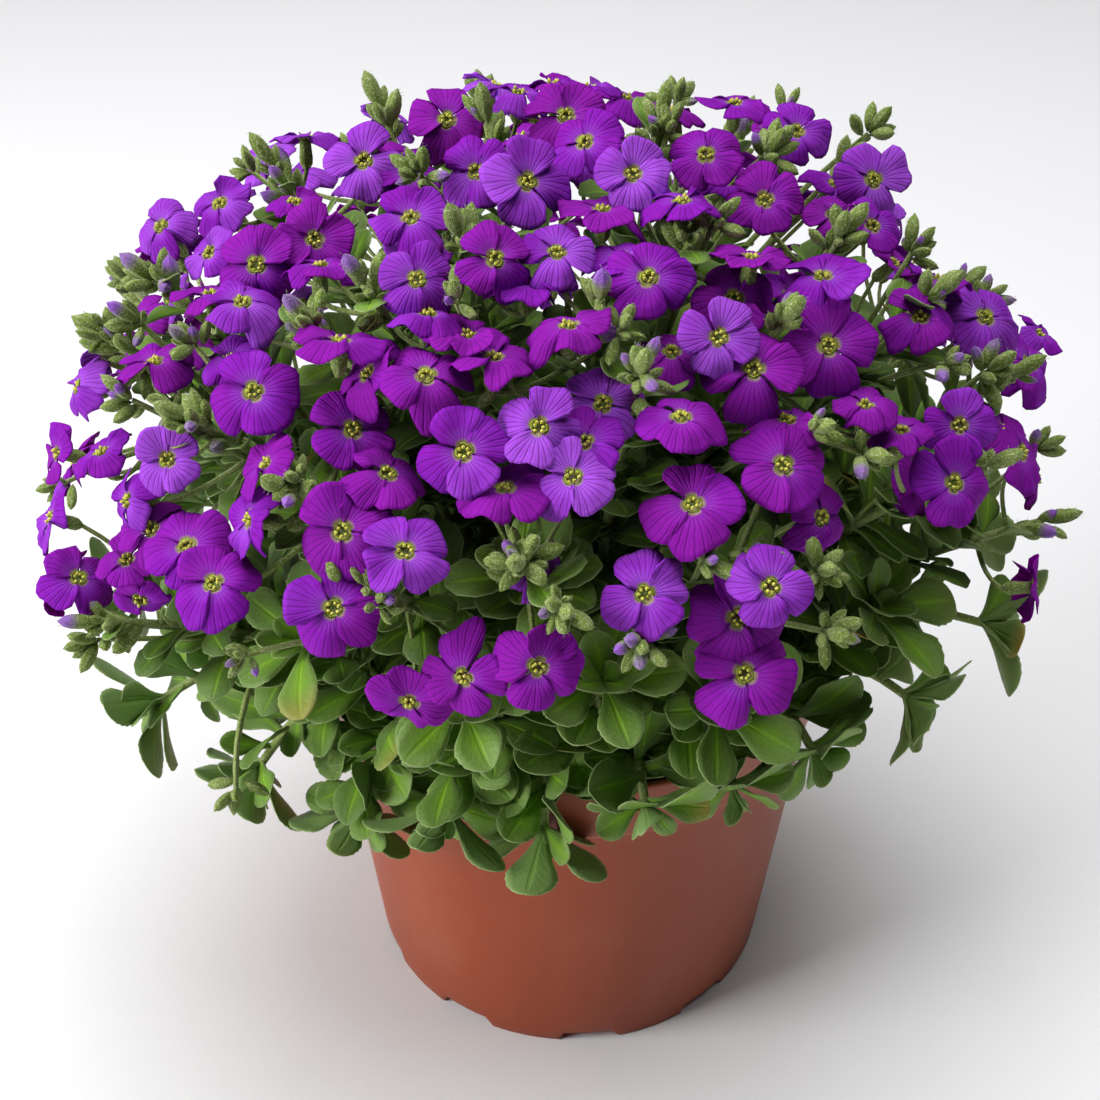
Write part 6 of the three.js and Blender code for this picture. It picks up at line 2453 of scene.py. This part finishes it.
@dataclass(frozen=True)
class Stage:
    """The pale floor, the soft light and the camera."""

    floor_size: float = 6.0
    world: float = 0.03
    backdrop: float = 0.85
    lamps: tuple[Lamp, ...] = (
        Lamp("overhead", (0.03, 0.24, 2.2), 2.0, 56.0),
        Lamp("side", (-1.15, -0.42, 0.62), 0.6, 16.5),
        Lamp("left", (-1.6, 0.3, 1.3), 1.2, 2.0),
    )

    def build(self) -> None:
        """Sets the stage."""
        half = self.floor_size / 2
        mesh = bpy.data.meshes.new("floor")
        mesh.from_pydata([(-half, -half, 0), (half, -half, 0), (half, half, 0), (-half, half, 0)], [],
                         [(0, 1, 2, 3)])
        floor = bpy.data.objects.new("floor", mesh)
        bpy.context.scene.collection.objects.link(floor)
        bench = Bench("floor")
        cloth = bench.noise(700.0, 2.0)
        colour = bench.mix(cloth * 0.3, paint(236, 236, 238), paint(230, 231, 233))
        mesh.materials.append(bench.finish({"Base Color": colour, "Roughness": 0.9}))
        for lamp in self.lamps:
            lamp.hang()
        world = bpy.data.worlds.new("studio")
        world.use_nodes = True
        nodes, links = world.node_tree.nodes, world.node_tree.links
        background, rays = nodes["Background"], nodes.new("ShaderNodeLightPath")
        strength = nodes.new("ShaderNodeMapRange")
        strength.inputs["To Min"].default_value = self.world
        strength.inputs["To Max"].default_value = self.backdrop
        links.new(rays.outputs["Is Camera Ray"], strength.inputs["Value"])
        links.new(strength.outputs[0], background.inputs["Strength"])
        background.inputs["Color"].default_value = (1.0, 1.0, 1.0, 1.0)
        scene = bpy.context.scene
        scene.world = world
        scene.view_settings.view_transform = "Standard"
        self.camera()

    @staticmethod
    def camera() -> None:
        """Adds the camera at the picture's angle and distance."""
        data = bpy.data.cameras.new("camera")
        data.sensor_width = SENSOR_WIDTH
        data.lens = SENSOR_WIDTH * VIEW_FOCAL_PIXELS / PICTURE_PIXELS
        data.clip_start = 0.01
        camera = bpy.data.objects.new("camera", data)
        camera.location = tuple(VIEW_EYE * MM)
        camera.rotation_euler = (math.pi / 2 - VIEW_ELEVATION, 0, 0)
        bpy.context.scene.collection.objects.link(camera)
        bpy.context.scene.camera = camera


def main() -> None:
    """Builds the pot, the soil, the shoots, the sprays and the stage, in this order."""
    logging.basicConfig(level=logging.INFO, format="%(message)s")
    finishes = Finishes()
    Pot().build(finishes)
    Soil().build(finishes)
    growth = Growth()
    for number, shoot in enumerate(growth.shoots):
        LeafyShoot(number, shoot, finishes).build()
    inner = inner_blooms(growth.sprays)
    outer = [spray.blooms for spray in growth.sprays]
    buds = Buds(blooms=tuple(bloom for blooms in outer + inner for bloom in blooms))
    groups = zip(growth.sprays, inner, clusters_by_spray(growth.sprays))
    for number, (spray, hidden, clusters) in enumerate(groups):
        Spray(number, spray, hidden, clusters, buds, finishes).build()
    Stage().build()
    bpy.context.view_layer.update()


if __name__ == "__main__":
    main()
